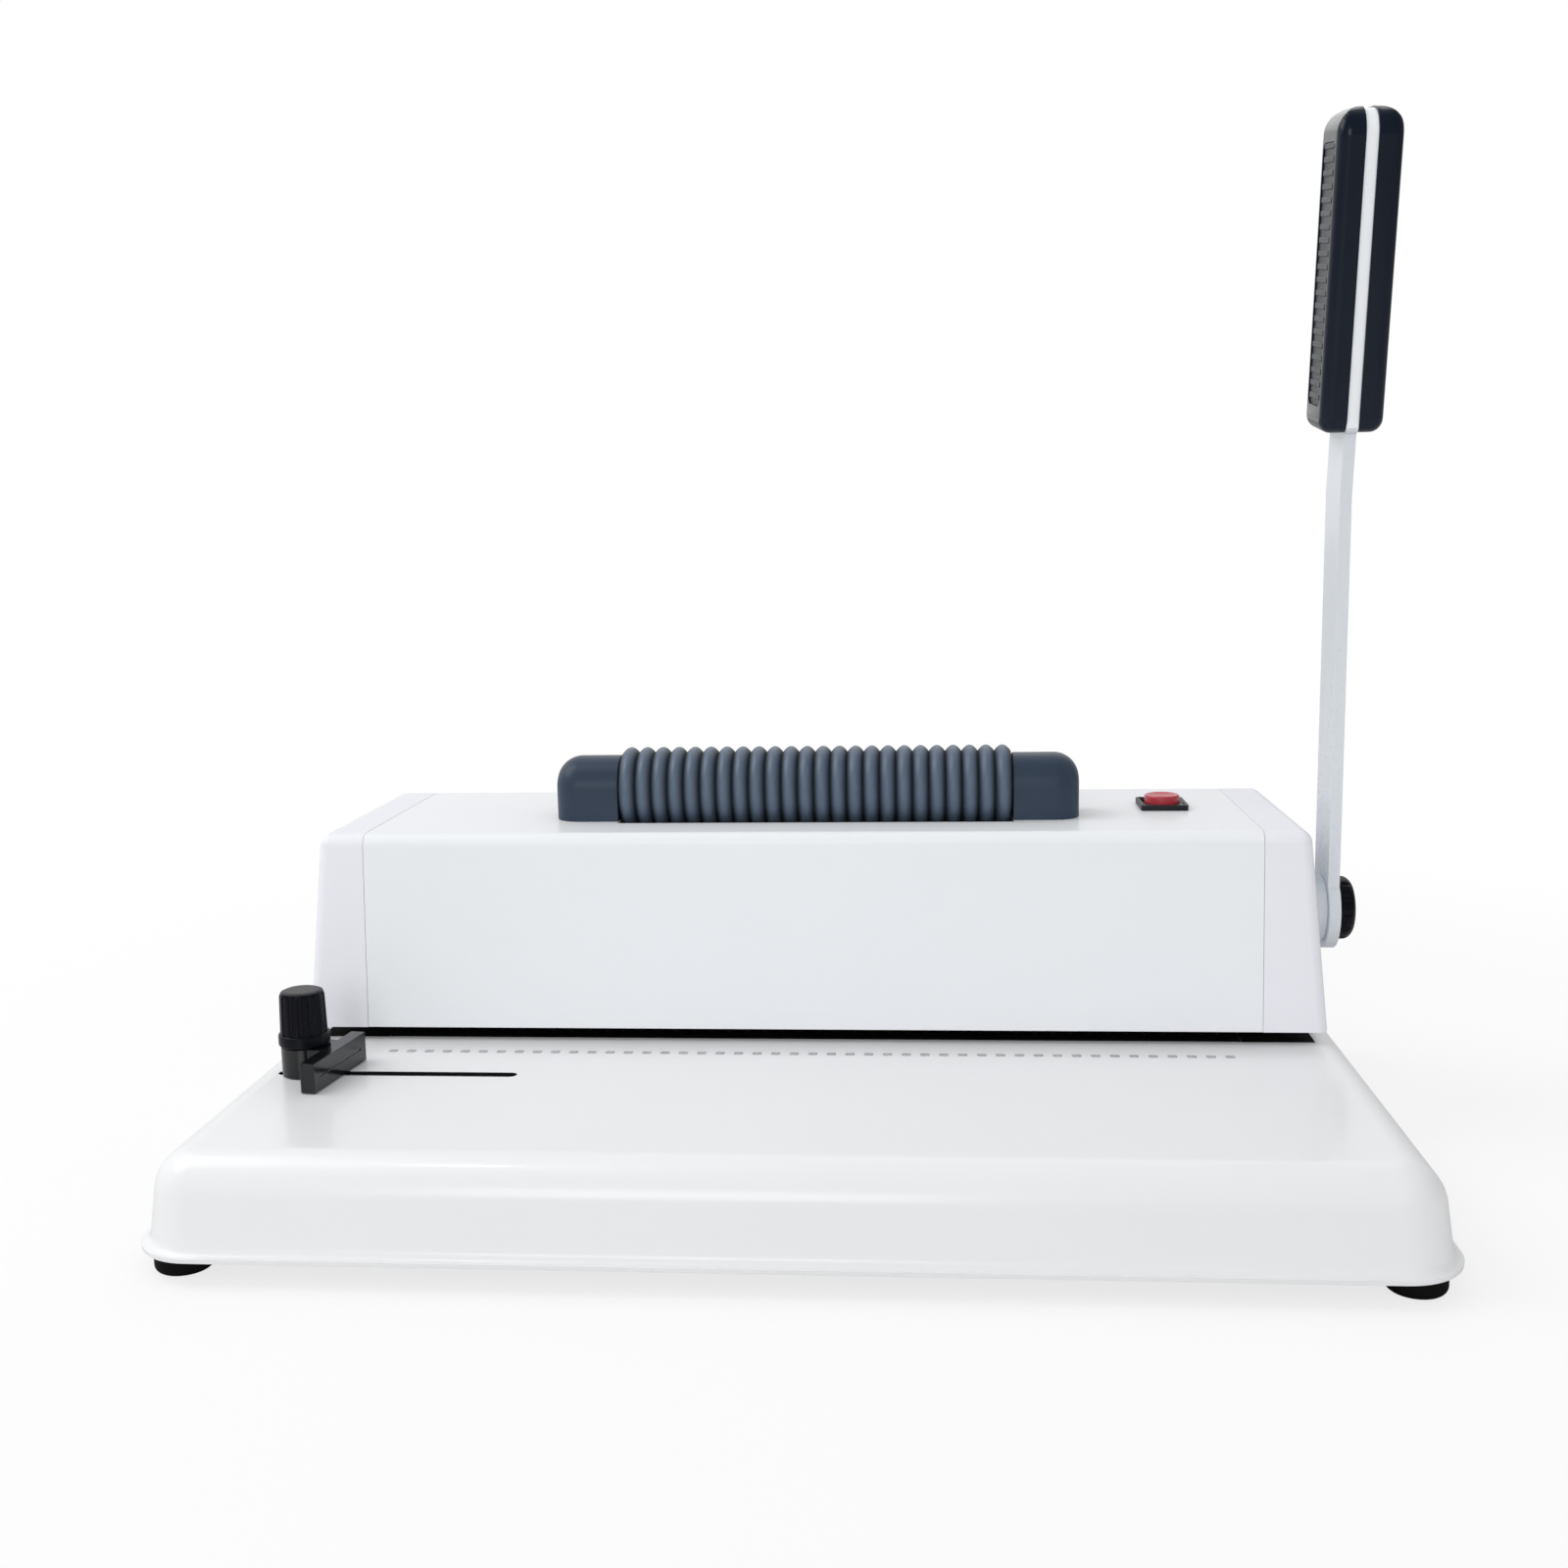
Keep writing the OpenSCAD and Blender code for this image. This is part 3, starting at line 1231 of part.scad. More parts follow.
// Side guide: a round boss on the bolt and a fence beside it on a web, turned a little about the bolt
module side_guide() {
    z0 = plate_z + guide_gap;
    color([0.28, 0.3, 0.33]) translate([guide_x, slot_y, 0]) rotate(-guide_turn) difference() {
        union() {
            bar_z_dir(z0, z0 + fence_h, 0, 0, boss_d / 2);
            block([0, -web_half, z0], [fence_reach - fence_t / 2, web_half, z0 + fence_h]);
            block([fence_reach - fence_t, fence_y, z0], [fence_reach, fence_y + fence_l, z0 + fence_h]);
        }
        bar_z_dir(z0 - over, z0 + fence_h + over, 0, 0, bolt_d / 2 + run_gap);
    }
}

// Fluted clamping knob: a flange below, a fluted barrel, a bevelled top
module guide_knob() {
    r = guide_knob_d / 2;
    flange_h = 3.2;
    flange_out = 0.6;
    bevel = 1.4;
    flutes = 14;
    flute_r = 1;
    color([0.1, 0.1, 0.12]) translate([guide_x, slot_y, knob_z]) difference() {
        union() {
            rotate_extrude() polygon([[0, 0], [r, 0], [r + flange_out, flange_out],
                [r + flange_out, flange_h - flange_out], [r, flange_h], [0, flange_h]]);
            translate([0, 0, flange_h]) linear_extrude(guide_knob_h - flange_h - bevel) difference() {
                circle(r - flange_out);
                for (k = [0 : flutes - 1]) rotate(360 * k / flutes) translate([r, 0]) circle(flute_r);
            }
            translate([0, 0, guide_knob_h - bevel])
                cylinder(h = bevel, r1 = r - flange_out - flute_r, r2 = r - flange_out - flute_r - bevel);
        }
        bar_z_dir(-over, guide_knob_h - 2.4, 0, 0, bolt_d / 2 + run_gap);
    }
}

module chip_tray() {
    x = tray_w / 2;
    z1 = tray_z + tray_h;
    pull_w = 80;
    pull_t = 3;
    color([0.85, 0.86, 0.88]) {
        difference() {
            block([-x, tray_y0, tray_z], [x, face_y, z1]);
            block([-x + tray_wall, tray_y0 + tray_wall, tray_z + tray_wall], [x - tray_wall, face_y - tray_wall, z1 + over]);
        }
        block([-x, face_y, tray_z], [x, face_y + tray_face_t, z1]);
        block([-pull_w / 2, face_y + tray_face_t, z1 - 2 * pull_t], [pull_w / 2, face_y + tray_face_t + pull_d, z1 - pull_t]);
    }
}

base_pan();
bottom_plate();
rubber_feet();
foot_screws();
base_posts();
base_screws();
tray_rails();
die_plate();
back_gauge();
guide_plate();
block_screws();
left_side_plate();
right_side_plate();
frame_screws();
shaft_bushes();
guide_posts();
return_springs();
cover();
left_end_cover();
right_end_cover();
end_cover_screws();
rear_cover();
rear_screws();
power_inlet();
left_roller_housing();
right_roller_housing();
roller_bushes();
motor();
motor_bracket();
motor_screws();
drive_belt();
button_bezel();
button_switch();
drive_shaft();
drive_pinions();
lever_hub();
lever_bar();
inner_grip_scale();
outer_grip_scale();
grip_screws();
lever_knob();
punch_beam();
pin_plate();
punch_pins();
punch_racks();
beam_screws();
roller_sleeve();
roller_shaft();
roller_pulley();
motor_shaft();
motor_pulley();
button_cap();
guide_bolt();
side_guide();
guide_knob();
chip_tray();
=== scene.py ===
"""Looks of a coil binding machine: a hand lever punches the holes, and a driven roller winds in the coil."""

import json
from math import cos, pi, radians, sin, tan

import bmesh
import bpy
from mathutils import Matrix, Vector


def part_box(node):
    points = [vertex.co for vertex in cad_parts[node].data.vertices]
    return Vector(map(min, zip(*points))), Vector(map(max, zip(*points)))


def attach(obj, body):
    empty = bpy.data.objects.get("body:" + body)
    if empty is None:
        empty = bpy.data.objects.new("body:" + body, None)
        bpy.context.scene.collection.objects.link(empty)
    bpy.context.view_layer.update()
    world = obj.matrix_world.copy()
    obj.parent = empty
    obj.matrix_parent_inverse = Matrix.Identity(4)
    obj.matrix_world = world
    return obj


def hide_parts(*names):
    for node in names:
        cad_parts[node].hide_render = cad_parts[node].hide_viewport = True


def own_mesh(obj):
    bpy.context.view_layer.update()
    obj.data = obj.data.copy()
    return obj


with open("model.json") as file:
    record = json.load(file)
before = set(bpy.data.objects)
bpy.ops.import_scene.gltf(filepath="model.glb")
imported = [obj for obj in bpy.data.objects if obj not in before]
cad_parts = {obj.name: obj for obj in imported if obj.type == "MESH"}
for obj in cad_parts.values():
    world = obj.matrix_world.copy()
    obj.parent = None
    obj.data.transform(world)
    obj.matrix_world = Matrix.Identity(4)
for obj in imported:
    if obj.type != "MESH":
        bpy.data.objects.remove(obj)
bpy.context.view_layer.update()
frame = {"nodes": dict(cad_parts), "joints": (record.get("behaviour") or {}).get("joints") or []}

node = frame["nodes"]
pivot = {joint["name"]: Vector(joint["pos_m"]) for joint in frame["joints"] if "pos_m" in joint}


# Studio: the camera stands in front of the machine, a little to its right, and looks slightly down.
# The floor is plain and pale, and fades into the white background.
# The room is bright behind the machine and dim in front of it and above, as its glossy surfaces show.
bpy.context.scene.view_settings.view_transform = "Standard"
bpy.ops.object.select_all(action="DESELECT")
camera_place = (0.04278, -0.56889, 0.21631)
yaw, pitch, roll = -0.085, 0.154, -0.019
ahead = Vector((sin(yaw) * cos(pitch), cos(yaw) * cos(pitch), -sin(pitch)))
level = Vector((cos(yaw), -sin(yaw), 0))
upright = level.cross(ahead)
bpy.ops.object.camera_add(location=camera_place)
camera = bpy.context.object
camera.data.sensor_width = 36
camera.data.lens = 39.24
camera.data.clip_start = 0.01
camera.rotation_mode = "QUATERNION"
camera.rotation_quaternion = ahead.to_track_quat("-Z", "Y")
turned = camera.rotation_quaternion.to_matrix()
turned.col[0] = level * cos(roll) + upright * sin(roll)
turned.col[1] = upright * cos(roll) - level * sin(roll)
turned.col[2] = -ahead
camera.rotation_quaternion = turned.to_quaternion()
bpy.context.scene.camera = camera


class Wire:
    """A shader socket that can be written into sums, and that adds the nodes for them."""

    def __init__(self, tree, socket=None):
        self.tree, self.socket = tree, socket

    def node(self, kind, settings={}, sockets={}, out=0):
        """A new node: its settings are set first, then its sockets get their values or links."""
        made = self.tree.nodes.new(kind)
        for name, value in settings.items():
            setattr(made, name, value)
        for name, value in sockets.items():
            if isinstance(value, Wire):
                self.tree.links.new(value.socket, made.inputs[name])
            else:
                made.inputs[name].default_value = value
        return Wire(self.tree, made.outputs[out] if len(made.outputs) else None)

    def maths(self, operation, a, b):
        return self.node("ShaderNodeMath", {"operation": operation}, {0: a, 1: b})

    def __add__(self, other):
        return self.maths("ADD", self, other)

    def __radd__(self, other):
        return self.maths("ADD", other, self)

    def __sub__(self, other):
        return self.maths("SUBTRACT", self, other)

    def __rsub__(self, other):
        return self.maths("SUBTRACT", other, self)

    def __mul__(self, other):
        return self.maths("MULTIPLY", self, other)

    def __rmul__(self, other):
        return self.maths("MULTIPLY", other, self)

    def __pow__(self, other):
        return self.maths("POWER", self, other)

    def clamped(self, low, high):
        """0 at low, 1 at high, and even between them."""
        return self.node("ShaderNodeMapRange", {"clamp": True},
                         {"Value": self, "From Min": low, "From Max": high, "To Min": 0.0, "To Max": 1.0})

    def noise(self, scale, detail, roughness=0.5):
        """Noise over this vector."""
        return self.node("ShaderNodeTexNoise", {},
                         {"Vector": self, "Scale": scale, "Detail": detail, "Roughness": roughness}, "Fac")

    def along(self, direction):
        """How far this vector goes in a direction."""
        return self.node("ShaderNodeVectorMath", {"operation": "DOT_PRODUCT"},
                         {0: self, 1: direction}, "Value")

    def between(self, first, second):
        """The colour that lies this share of the way from one to another."""
        return self.node("ShaderNodeMix", {"data_type": "RGBA"},
                         {0: self, 6: (*first, 1), 7: (*second, 1)}, 2)

    def raised(self, strength, distance):
        """The normal of a surface that this height raises."""
        return self.node("ShaderNodeBump", {}, {"Strength": strength, "Distance": distance, "Height": self})

    def shader(self, sockets):
        """Ends a material in one principled shader."""
        body = self.node("ShaderNodeBsdfPrincipled", {}, sockets)
        self.node("ShaderNodeOutputMaterial", {}, {"Surface": body})


def new_material(name):
    """A bare material, its kit of nodes, and the place on the surface."""
    made = bpy.data.materials.new(name)
    made.use_nodes = True
    made.node_tree.nodes.clear()
    kit = Wire(made.node_tree)
    return made, kit, kit.node("ShaderNodeTexCoord", out="Object")


bpy.ops.mesh.primitive_plane_add(size=30, location=(0, 0, 0))
floor = bpy.context.object
floor.name = "floor"
floor_paper, kit, spot = new_material("floor_paper")
away = kit.node("ShaderNodeVectorMath", {"operation": "LENGTH"}, {0: spot}, "Value")
fade = 0.75 + 0.25 * away.clamped(0.25, 0.6)
grain = spot.noise(400.0, 2.0)
seen = kit.node("ShaderNodeLightPath", out="Is Camera Ray")
tone = seen.between((0.71, 0.71, 0.715), (0.93, 0.93, 0.935))
paper = kit.node("ShaderNodeBsdfPrincipled", {},
                 {"Base Color": tone, "Roughness": 0.62 + 0.06 * grain, "Specular IOR Level": 0.25})
glow = kit.node("ShaderNodeEmission", {}, {"Color": (1, 1, 1, 1), "Strength": 1.0})
ground = kit.node("ShaderNodeMixShader", {}, {0: fade * seen, 1: paper, 2: glow})
kit.node("ShaderNodeOutputMaterial", {}, {"Surface": ground})
floor.data.materials.append(floor_paper)

sky = bpy.data.worlds.new("studio_sky")
bpy.context.scene.world = sky
sky.use_nodes = True
sky.node_tree.nodes.clear()
kit = Wire(sky.node_tree)
camera_ray = kit.node("ShaderNodeLightPath", out="Is Camera Ray")
glossy_ray = kit.node("ShaderNodeLightPath", out="Is Glossy Ray")
clear_ray = kit.node("ShaderNodeLightPath", out="Is Transmission Ray")
mirrored = (glossy_ray + clear_ray).clamped(0.0, 1.0)
toward = kit.node("ShaderNodeTexCoord", out="Generated")
above = toward.along((0, 0, 1)).clamped(0.0, 1.0)
before = toward.along((0, -1, 0)).clamped(0.0, 1.0)
bright_side = toward.along((-0.45, 0.82, 0.33)).clamped(0.05, 0.8)
soft_light = 0.78 - 0.30 * above + 0.31 * before
room_light = soft_light * (1.0 - mirrored) + mirrored * (0.17 + 0.83 * bright_side)
strength = camera_ray + (1.0 - camera_ray) * room_light
sky_light = kit.node("ShaderNodeBackground", {}, {"Color": (1, 1, 1, 1), "Strength": strength})
kit.node("ShaderNodeOutputWorld", {}, {"Surface": sky_light})

for lamp_name, place, aim, size, power in (
    ("key_softbox", (-1.0, 0.0, 1.15), (0.0, 0.0, 0.05), 0.8, 6.5),
    ("front_softbox", (-0.3, -1.9, 0.7), (0.0, 0.0, 0.1), 0.7, 6.0),
    ("ceiling_spark", (-0.49, -0.08, 1.5), (0.0, 0.0, 0.2), 0.09, 0.9),
    ("back_softbox", (0.2, 1.4, 1.3), (0.0, 0.0, 0.1), 1.2, 2.0),
):
    bpy.ops.object.light_add(type="AREA", location=place)
    lamp = bpy.context.object
    lamp.name = lamp_name
    lamp.data.size = size
    lamp.data.energy = power
    lamp.rotation_mode = "QUATERNION"
    lamp.rotation_quaternion = (Vector(aim) - Vector(place)).to_track_quat("-Z", "Y")


# Base pan: one deep-drawn sheet of steel with a rolled shoulder, drafted walls and a small flared lip.
# It is stove-enamelled white. The punch's die lies in its cut-out, and a slot guides the side stop's bolt.
def fresh():
    """Leaves edit mode and selects nothing."""
    if bpy.context.object and bpy.context.object.mode != "OBJECT":
        bpy.ops.object.mode_set(mode="OBJECT")
    bpy.ops.object.select_all(action="DESELECT")


def take(piece):
    """Makes a piece the only one selected."""
    fresh()
    piece.select_set(True)
    bpy.context.view_layer.objects.active = piece
    return piece


def settle(name):
    """Names the object just added, and puts its place and turn into its mesh."""
    bpy.context.object.name = name
    bpy.ops.object.transform_apply(location=True, rotation=True, scale=True)
    return bpy.context.object


def block(name, low, high):
    """A box between two corners."""
    fresh()
    low, high = Vector(low), Vector(high)
    bpy.ops.mesh.primitive_cube_add(size=1, location=(low + high) / 2, scale=high - low)
    return settle(name)


def rod(name, start, end, radius, sides=48):
    """A round bar between two points."""
    fresh()
    start, end = Vector(start), Vector(end)
    turn = (end - start).to_track_quat("Z", "Y").to_euler()
    bpy.ops.mesh.primitive_cylinder_add(vertices=sides, radius=radius, depth=(end - start).length,
                                        location=(start + end) / 2, rotation=turn)
    return settle(name)


def pick_edges(piece, test):
    """Selects, in edit mode, the edges whose two ends pass a test."""
    take(piece)
    bpy.ops.object.mode_set(mode="EDIT")
    bpy.ops.mesh.select_mode(type="EDGE")
    bpy.ops.mesh.select_all(action="DESELECT")
    mesh = bmesh.from_edit_mesh(piece.data)
    for edge in mesh.edges:
        edge.select_set(bool(test(edge.verts[0].co, edge.verts[1].co)))
    bmesh.update_edit_mesh(piece.data)


def pick_faces(piece, test):
    """Selects, in edit mode, the faces whose middle and normal pass a test."""
    take(piece)
    bpy.ops.object.mode_set(mode="EDIT")
    bpy.ops.mesh.select_mode(type="FACE")
    bpy.ops.mesh.select_all(action="DESELECT")
    mesh = bmesh.from_edit_mesh(piece.data)
    mesh.normal_update()
    for face in mesh.faces:
        face.select_set(bool(test(face.calc_center_median(), face.normal)))
    bmesh.update_edit_mesh(piece.data)


def drop_faces(piece, test):
    """Takes the faces that pass a test off a piece."""
    pick_faces(piece, test)
    bpy.ops.mesh.delete(type="FACE")
    bpy.ops.object.mode_set(mode="OBJECT")


def round_edges(piece, test, radius, segments=8):
    """Rounds the edges that pass a test."""
    pick_edges(piece, test)
    bpy.ops.mesh.bevel(offset=radius, offset_type="OFFSET", segments=segments, profile=0.5,
                       affect="EDGES", clamp_overlap=False)
    bpy.ops.object.mode_set(mode="OBJECT")


def carve(piece, tool, operation="DIFFERENCE"):
    """Cuts a piece with another one, or joins or crosses them, and takes the other away."""
    take(piece)
    cut = piece.modifiers.new("cut", "BOOLEAN")
    cut.object, cut.operation, cut.solver = tool, operation, "EXACT"
    bpy.ops.object.modifier_apply(modifier="cut")
    bpy.data.objects.remove(tool)


def thicken(piece, wall):
    """Gives a sheet its wall, inwards."""
    take(piece)
    bpy.ops.object.mode_set(mode="EDIT")
    bpy.ops.mesh.select_all(action="SELECT")
    bpy.ops.mesh.normals_make_consistent(inside=False)
    bpy.ops.object.mode_set(mode="OBJECT")
    sheet = piece.modifiers.new("sheet", "SOLIDIFY")
    sheet.thickness, sheet.offset, sheet.use_even_offset = wall, -1, True
    bpy.ops.object.modifier_apply(modifier="sheet")


def soften(piece, width, segments=2, angle=40, smooth=35):
    """Breaks the sharp edges and shades the piece, with its flat faces kept flat."""
    take(piece)
    if width:
        edge = piece.modifiers.new("edge", "BEVEL")
        edge.width, edge.segments = width, segments
        edge.limit_method, edge.angle_limit = "ANGLE", radians(angle)
        edge.use_clamp_overlap = True
        bpy.ops.object.modifier_apply(modifier="edge")
    bpy.ops.object.shade_smooth_by_angle(angle=radians(smooth))
    flat = piece.modifiers.new("flat", "WEIGHTED_NORMAL")
    flat.keep_sharp = True
    bpy.ops.object.modifier_apply(modifier="flat")


def dress(piece, body, material, slot, *nodes):
    """Gives a finished piece its material, its body and the CAD nodes that it stands for."""
    fresh()
    if not piece.data.materials:
        piece.data.materials.append(material)
    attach(piece, body)
    if nodes:
        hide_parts(*nodes)


def coat(material, *names):
    """Gives CAD nodes that stay in view a material."""
    for name in names:
        node[name].data.materials.clear()
        node[name].data.materials.append(material)


def stove_enamel(name, colour, shade, gloss, peel, shine=0.5, lacquer=0.12):
    """Baked paint on steel: an even coat with slight clouds, orange peel and a trace of wear on the edges."""
    made, kit, spot = new_material(name)
    cloud = spot.noise(14.0, 4.0, 0.55)
    skin = spot.noise(950.0, 1.5)
    dust = spot.noise(190.0, 6.0, 0.7)
    edge = kit.node("ShaderNodeNewGeometry", out="Pointiness").clamped(0.53, 0.62)
    kit.shader({"Base Color": (cloud.clamped(0.3, 0.75) * 0.8 + edge * 0.2).between(colour, shade),
                "Roughness": gloss + 0.05 * cloud + 0.03 * dust,
                "Coat Weight": lacquer + 0.06 * cloud,
                "Coat Roughness": 0.12,
                "Specular IOR Level": shine,
                "Normal": skin.raised(peel, 0.0003)})
    return made


pan_low, pan_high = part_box("base_pan")
plate_z = pan_high.z
sheet_wall, lip_r = 0.0015, 0.020
shoulder_r, flare_r, draft = 0.013, 0.003, radians(8)
corner_x, corner_y = pan_high.x - lip_r, pan_high.y - lip_r
shoulder_z = plate_z - shoulder_r
flare_z = pan_low.z + sheet_wall + flare_r
wall_drop = shoulder_z - flare_z + (shoulder_r + flare_r) * sin(draft)
shoulder_u = lip_r - (shoulder_r + flare_r) * cos(draft) - wall_drop * tan(draft)
rings = []
for k in range(13):
    turn = pi / 2 - (pi / 2 - draft) * k / 12
    rings.append((shoulder_u + shoulder_r * cos(turn), shoulder_z + shoulder_r * sin(turn)))
for k in range(7):
    turn = pi + draft + (pi / 2 - draft) * k / 6
    rings.append((lip_r + flare_r * cos(turn), flare_z + flare_r * sin(turn)))
hoops = []
for u, z in rings:
    fresh()
    bpy.ops.mesh.primitive_plane_add(size=2, location=(0, 0, z))
    bpy.context.object.scale = (corner_x + u, corner_y + u, 1)
    hoops.append(settle("hoop"))
    bpy.ops.object.mode_set(mode="EDIT")
    bpy.ops.mesh.select_mode(type="VERT")
    bpy.ops.mesh.select_all(action="SELECT")
    bpy.ops.mesh.bevel(offset=u, offset_type="OFFSET", segments=14, profile=0.5,
                       affect="VERTICES", clamp_overlap=False)
    bpy.ops.mesh.select_all(action="SELECT")
    bpy.ops.mesh.delete(type="ONLY_FACE")
    bpy.ops.object.mode_set(mode="OBJECT")
pan = take(hoops[0])
for hoop in hoops:
    hoop.select_set(True)
bpy.ops.object.join()
pan.name = "base_pan_enamel"
for (_, upper), (_, lower) in zip(rings, rings[1:]):
    pick_edges(pan, lambda a, b: abs(a.z - b.z) < 1e-6 and min(abs(a.z - upper), abs(a.z - lower)) < 1e-6)
    bpy.ops.mesh.bridge_edge_loops()
pick_edges(pan, lambda a, b: min(a.z, b.z) > plate_z - 1e-6)
bpy.ops.mesh.edge_face_add()
thicken(pan, sheet_wall)
die_low, die_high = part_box("die_plate")
die_gap, die_opening_back = 0.0002, 0.0262
under_plate, over_plate = plate_z - 0.003, plate_z + 0.002
carve(pan, block("die_opening", (die_low.x - die_gap, die_low.y - die_gap, under_plate),
                 (die_high.x + die_gap, die_opening_back, over_plate)))
tray_low, tray_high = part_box("chip_tray")
tray_gap = 0.0004
carve(pan, block("tray_mouth", (tray_low.x - tray_gap, corner_y, pan_low.z - 0.002),
                 (tray_high.x + tray_gap, pan_high.y + 0.002, tray_high.z + tray_gap)))
bolt = pivot["guide_swivel"]
slot_half = 0.0023
slot_left, slot_right = bolt.x - 0.0095, bolt.x + 0.0715
slot_tool = block("slot_tool", (slot_left, bolt.y - slot_half, under_plate),
                  (slot_right, bolt.y + slot_half, over_plate))
round_edges(slot_tool, lambda a, b: abs(a.z - b.z) > 0.004, slot_half - 1e-5, 10)
carve(pan, slot_tool)
soften(pan, 0.00035)
white_enamel = stove_enamel("white_enamel", (0.848, 0.857, 0.866), (0.832, 0.844, 0.856),
                            gloss=0.3, peel=0.012, lacquer=0.25)
dress(pan, "base", white_enamel, "white_enamel", "base_pan")


# Hole marks: short grey dashes printed on the plate, one in front of each hole that the punch cuts.
# They sit at the punch's own spacing, a quarter of an inch.
def repeat(piece, count, step, weld=False):
    """Repeats a piece in a straight row."""
    take(piece)
    row = piece.modifiers.new("row", "ARRAY")
    row.count, row.use_relative_offset, row.use_constant_offset = count, False, True
    row.constant_offset_displace = step
    row.use_merge_vertices, row.merge_threshold = weld, 1e-5
    bpy.ops.object.modifier_apply(modifier="row")


def printed_ink(name, colour, faded):
    """Thin print on enamel, a little uneven where the screen left less ink."""
    made, kit, spot = new_material(name)
    patch = spot.noise(700.0, 3.0)
    kit.shader({"Base Color": patch.clamped(0.35, 0.7).between(colour, faded),
                "Roughness": 0.45 + 0.15 * patch})
    return made


hole_count, hole_pitch = 46, 0.00635
first_hole = -hole_pitch * (hole_count - 1) / 2
mark_half, mark_front, mark_back, print_coat = 0.0016, -0.0105, -0.0077, 0.00004
marks = block("hole_marks", (first_hole - mark_half, mark_front, plate_z),
              (first_hole + mark_half, mark_back, plate_z + print_coat))
round_edges(marks, lambda a, b: abs(a.z - b.z) > print_coat / 2, 0.0007, 4)
repeat(marks, hole_count, (hole_pitch, 0, 0))
dress(marks, "base", printed_ink("grey_ink", (0.33, 0.34, 0.36), (0.5, 0.51, 0.53)), None)


# Feet: four turned rubber feet with a round lower edge, each held by a screw that sits up inside it.
# Rubber picks up a little dust, so the black is not quite even.
def copies(piece, shifts):
    """Copies a piece, each copy with its own mesh, and joins them to it."""
    made = [piece]
    for shift in shifts:
        take(piece)
        bpy.ops.object.duplicate(linked=False)
        bpy.context.object.location = shift
        made.append(bpy.context.object)
    take(piece)
    for copy in made:
        copy.select_set(True)
    bpy.ops.object.join()


def black_rubber_mix(name, colour, dusty, grain, gloss):
    """Moulded rubber: matt, finely grained, with a trace of dust."""
    made, kit, spot = new_material(name)
    dust = spot.noise(120.0, 6.0, 0.7)
    fine = spot.noise(grain, 3.0)
    edge = kit.node("ShaderNodeNewGeometry", out="Pointiness").clamped(0.5, 0.6)
    kit.shader({"Base Color": (dust.clamped(0.4, 0.8) * 0.55 + edge * 0.45).between(colour, dusty),
                "Roughness": gloss + 0.18 * dust,
                "Specular IOR Level": 0.12,
                "Normal": fine.raised(0.25, 0.0002)})
    return made


foot_x, foot_y, foot_r = 0.178, 0.105, 0.00875
foot_rim, screw_well = 0.00195, 0.0028
foot_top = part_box("rubber_feet")[1].z
feet = rod("rubber_feet_turned", (-foot_x, -foot_y, 0), (-foot_x, -foot_y, foot_top), foot_r, 56)
round_edges(feet, lambda a, b: max(a.z, b.z) < 1e-6, 0.0022, 6)
pick_faces(feet, lambda c, n: n.z < -0.9 and c.z < 1e-6)
bpy.ops.mesh.inset(thickness=foot_rim)
bpy.ops.mesh.extrude_region_move(TRANSFORM_OT_translate={"value": (0, 0, screw_well)})
bpy.ops.object.mode_set(mode="OBJECT")
soften(feet, 0.0002)
copies(feet, [(2 * foot_x, 0, 0), (0, 2 * foot_y, 0), (2 * foot_x, 2 * foot_y, 0)])
foot_rubber = black_rubber_mix("foot_rubber", (0.003, 0.0026, 0.0023), (0.008, 0.0075, 0.007),
                               grain=1500.0, gloss=0.65)
dress(feet, "base", foot_rubber, "black_rubber", "rubber_feet")
coat(foot_rubber, "drive_belt")


# Steelwork: the bottom plate, posts, rails and side plates are zinc-plated sheet, bent and screwed together.
# The die, gauge and guide plates are blued, and the wall of the pan's slot gets the same dark blued steel as
# painted shade.
# The punch is ground tool steel, and the bushes are sintered bronze.
def plated_steel(name, colour, stain, along, gloss):
    """Bare or plated metal with a fine grain in one direction and a few dull clouds."""
    made, kit, spot = new_material(name)
    drawn = kit.node("ShaderNodeMapping", {}, {"Vector": spot, "Scale": along})
    grain = drawn.noise(1.0, 5.0, 0.65)
    cloud = spot.noise(45.0, 5.0, 0.6)
    kit.shader({"Base Color": (cloud.clamped(0.35, 0.75) * 0.6 + grain * 0.3).between(colour, stain),
                "Metallic": 1.0,
                "Roughness": gloss + 0.15 * grain + 0.1 * cloud,
                "Normal": grain.raised(0.12, 0.0001)})
    return made


def lifted(name, source):
    """A copy of a CAD node's mesh, with its loose triangles merged into whole faces."""
    fresh()
    piece = node[source].copy()
    piece.data = node[source].data.copy()
    piece.name = name
    piece.parent = None
    for key in list(piece.keys()):
        del piece[key]
    bpy.context.scene.collection.objects.link(piece)
    piece.data.materials.clear()
    take(piece)
    bpy.ops.object.mode_set(mode="EDIT")
    bpy.ops.mesh.select_all(action="SELECT")
    bpy.ops.mesh.remove_doubles(threshold=2e-6)
    bpy.ops.mesh.dissolve_limited(angle_limit=radians(0.6))
    bpy.ops.object.mode_set(mode="OBJECT")
    return piece


def paint_faces(piece, first, second, test):
    """Gives a piece one material, and the faces that pass a test another."""
    piece.data.materials.clear()
    piece.data.materials.append(first)
    piece.data.materials.append(second)
    pick_faces(piece, test)
    piece.active_material_index = 1
    bpy.ops.object.material_slot_assign()
    bpy.ops.object.mode_set(mode="OBJECT")


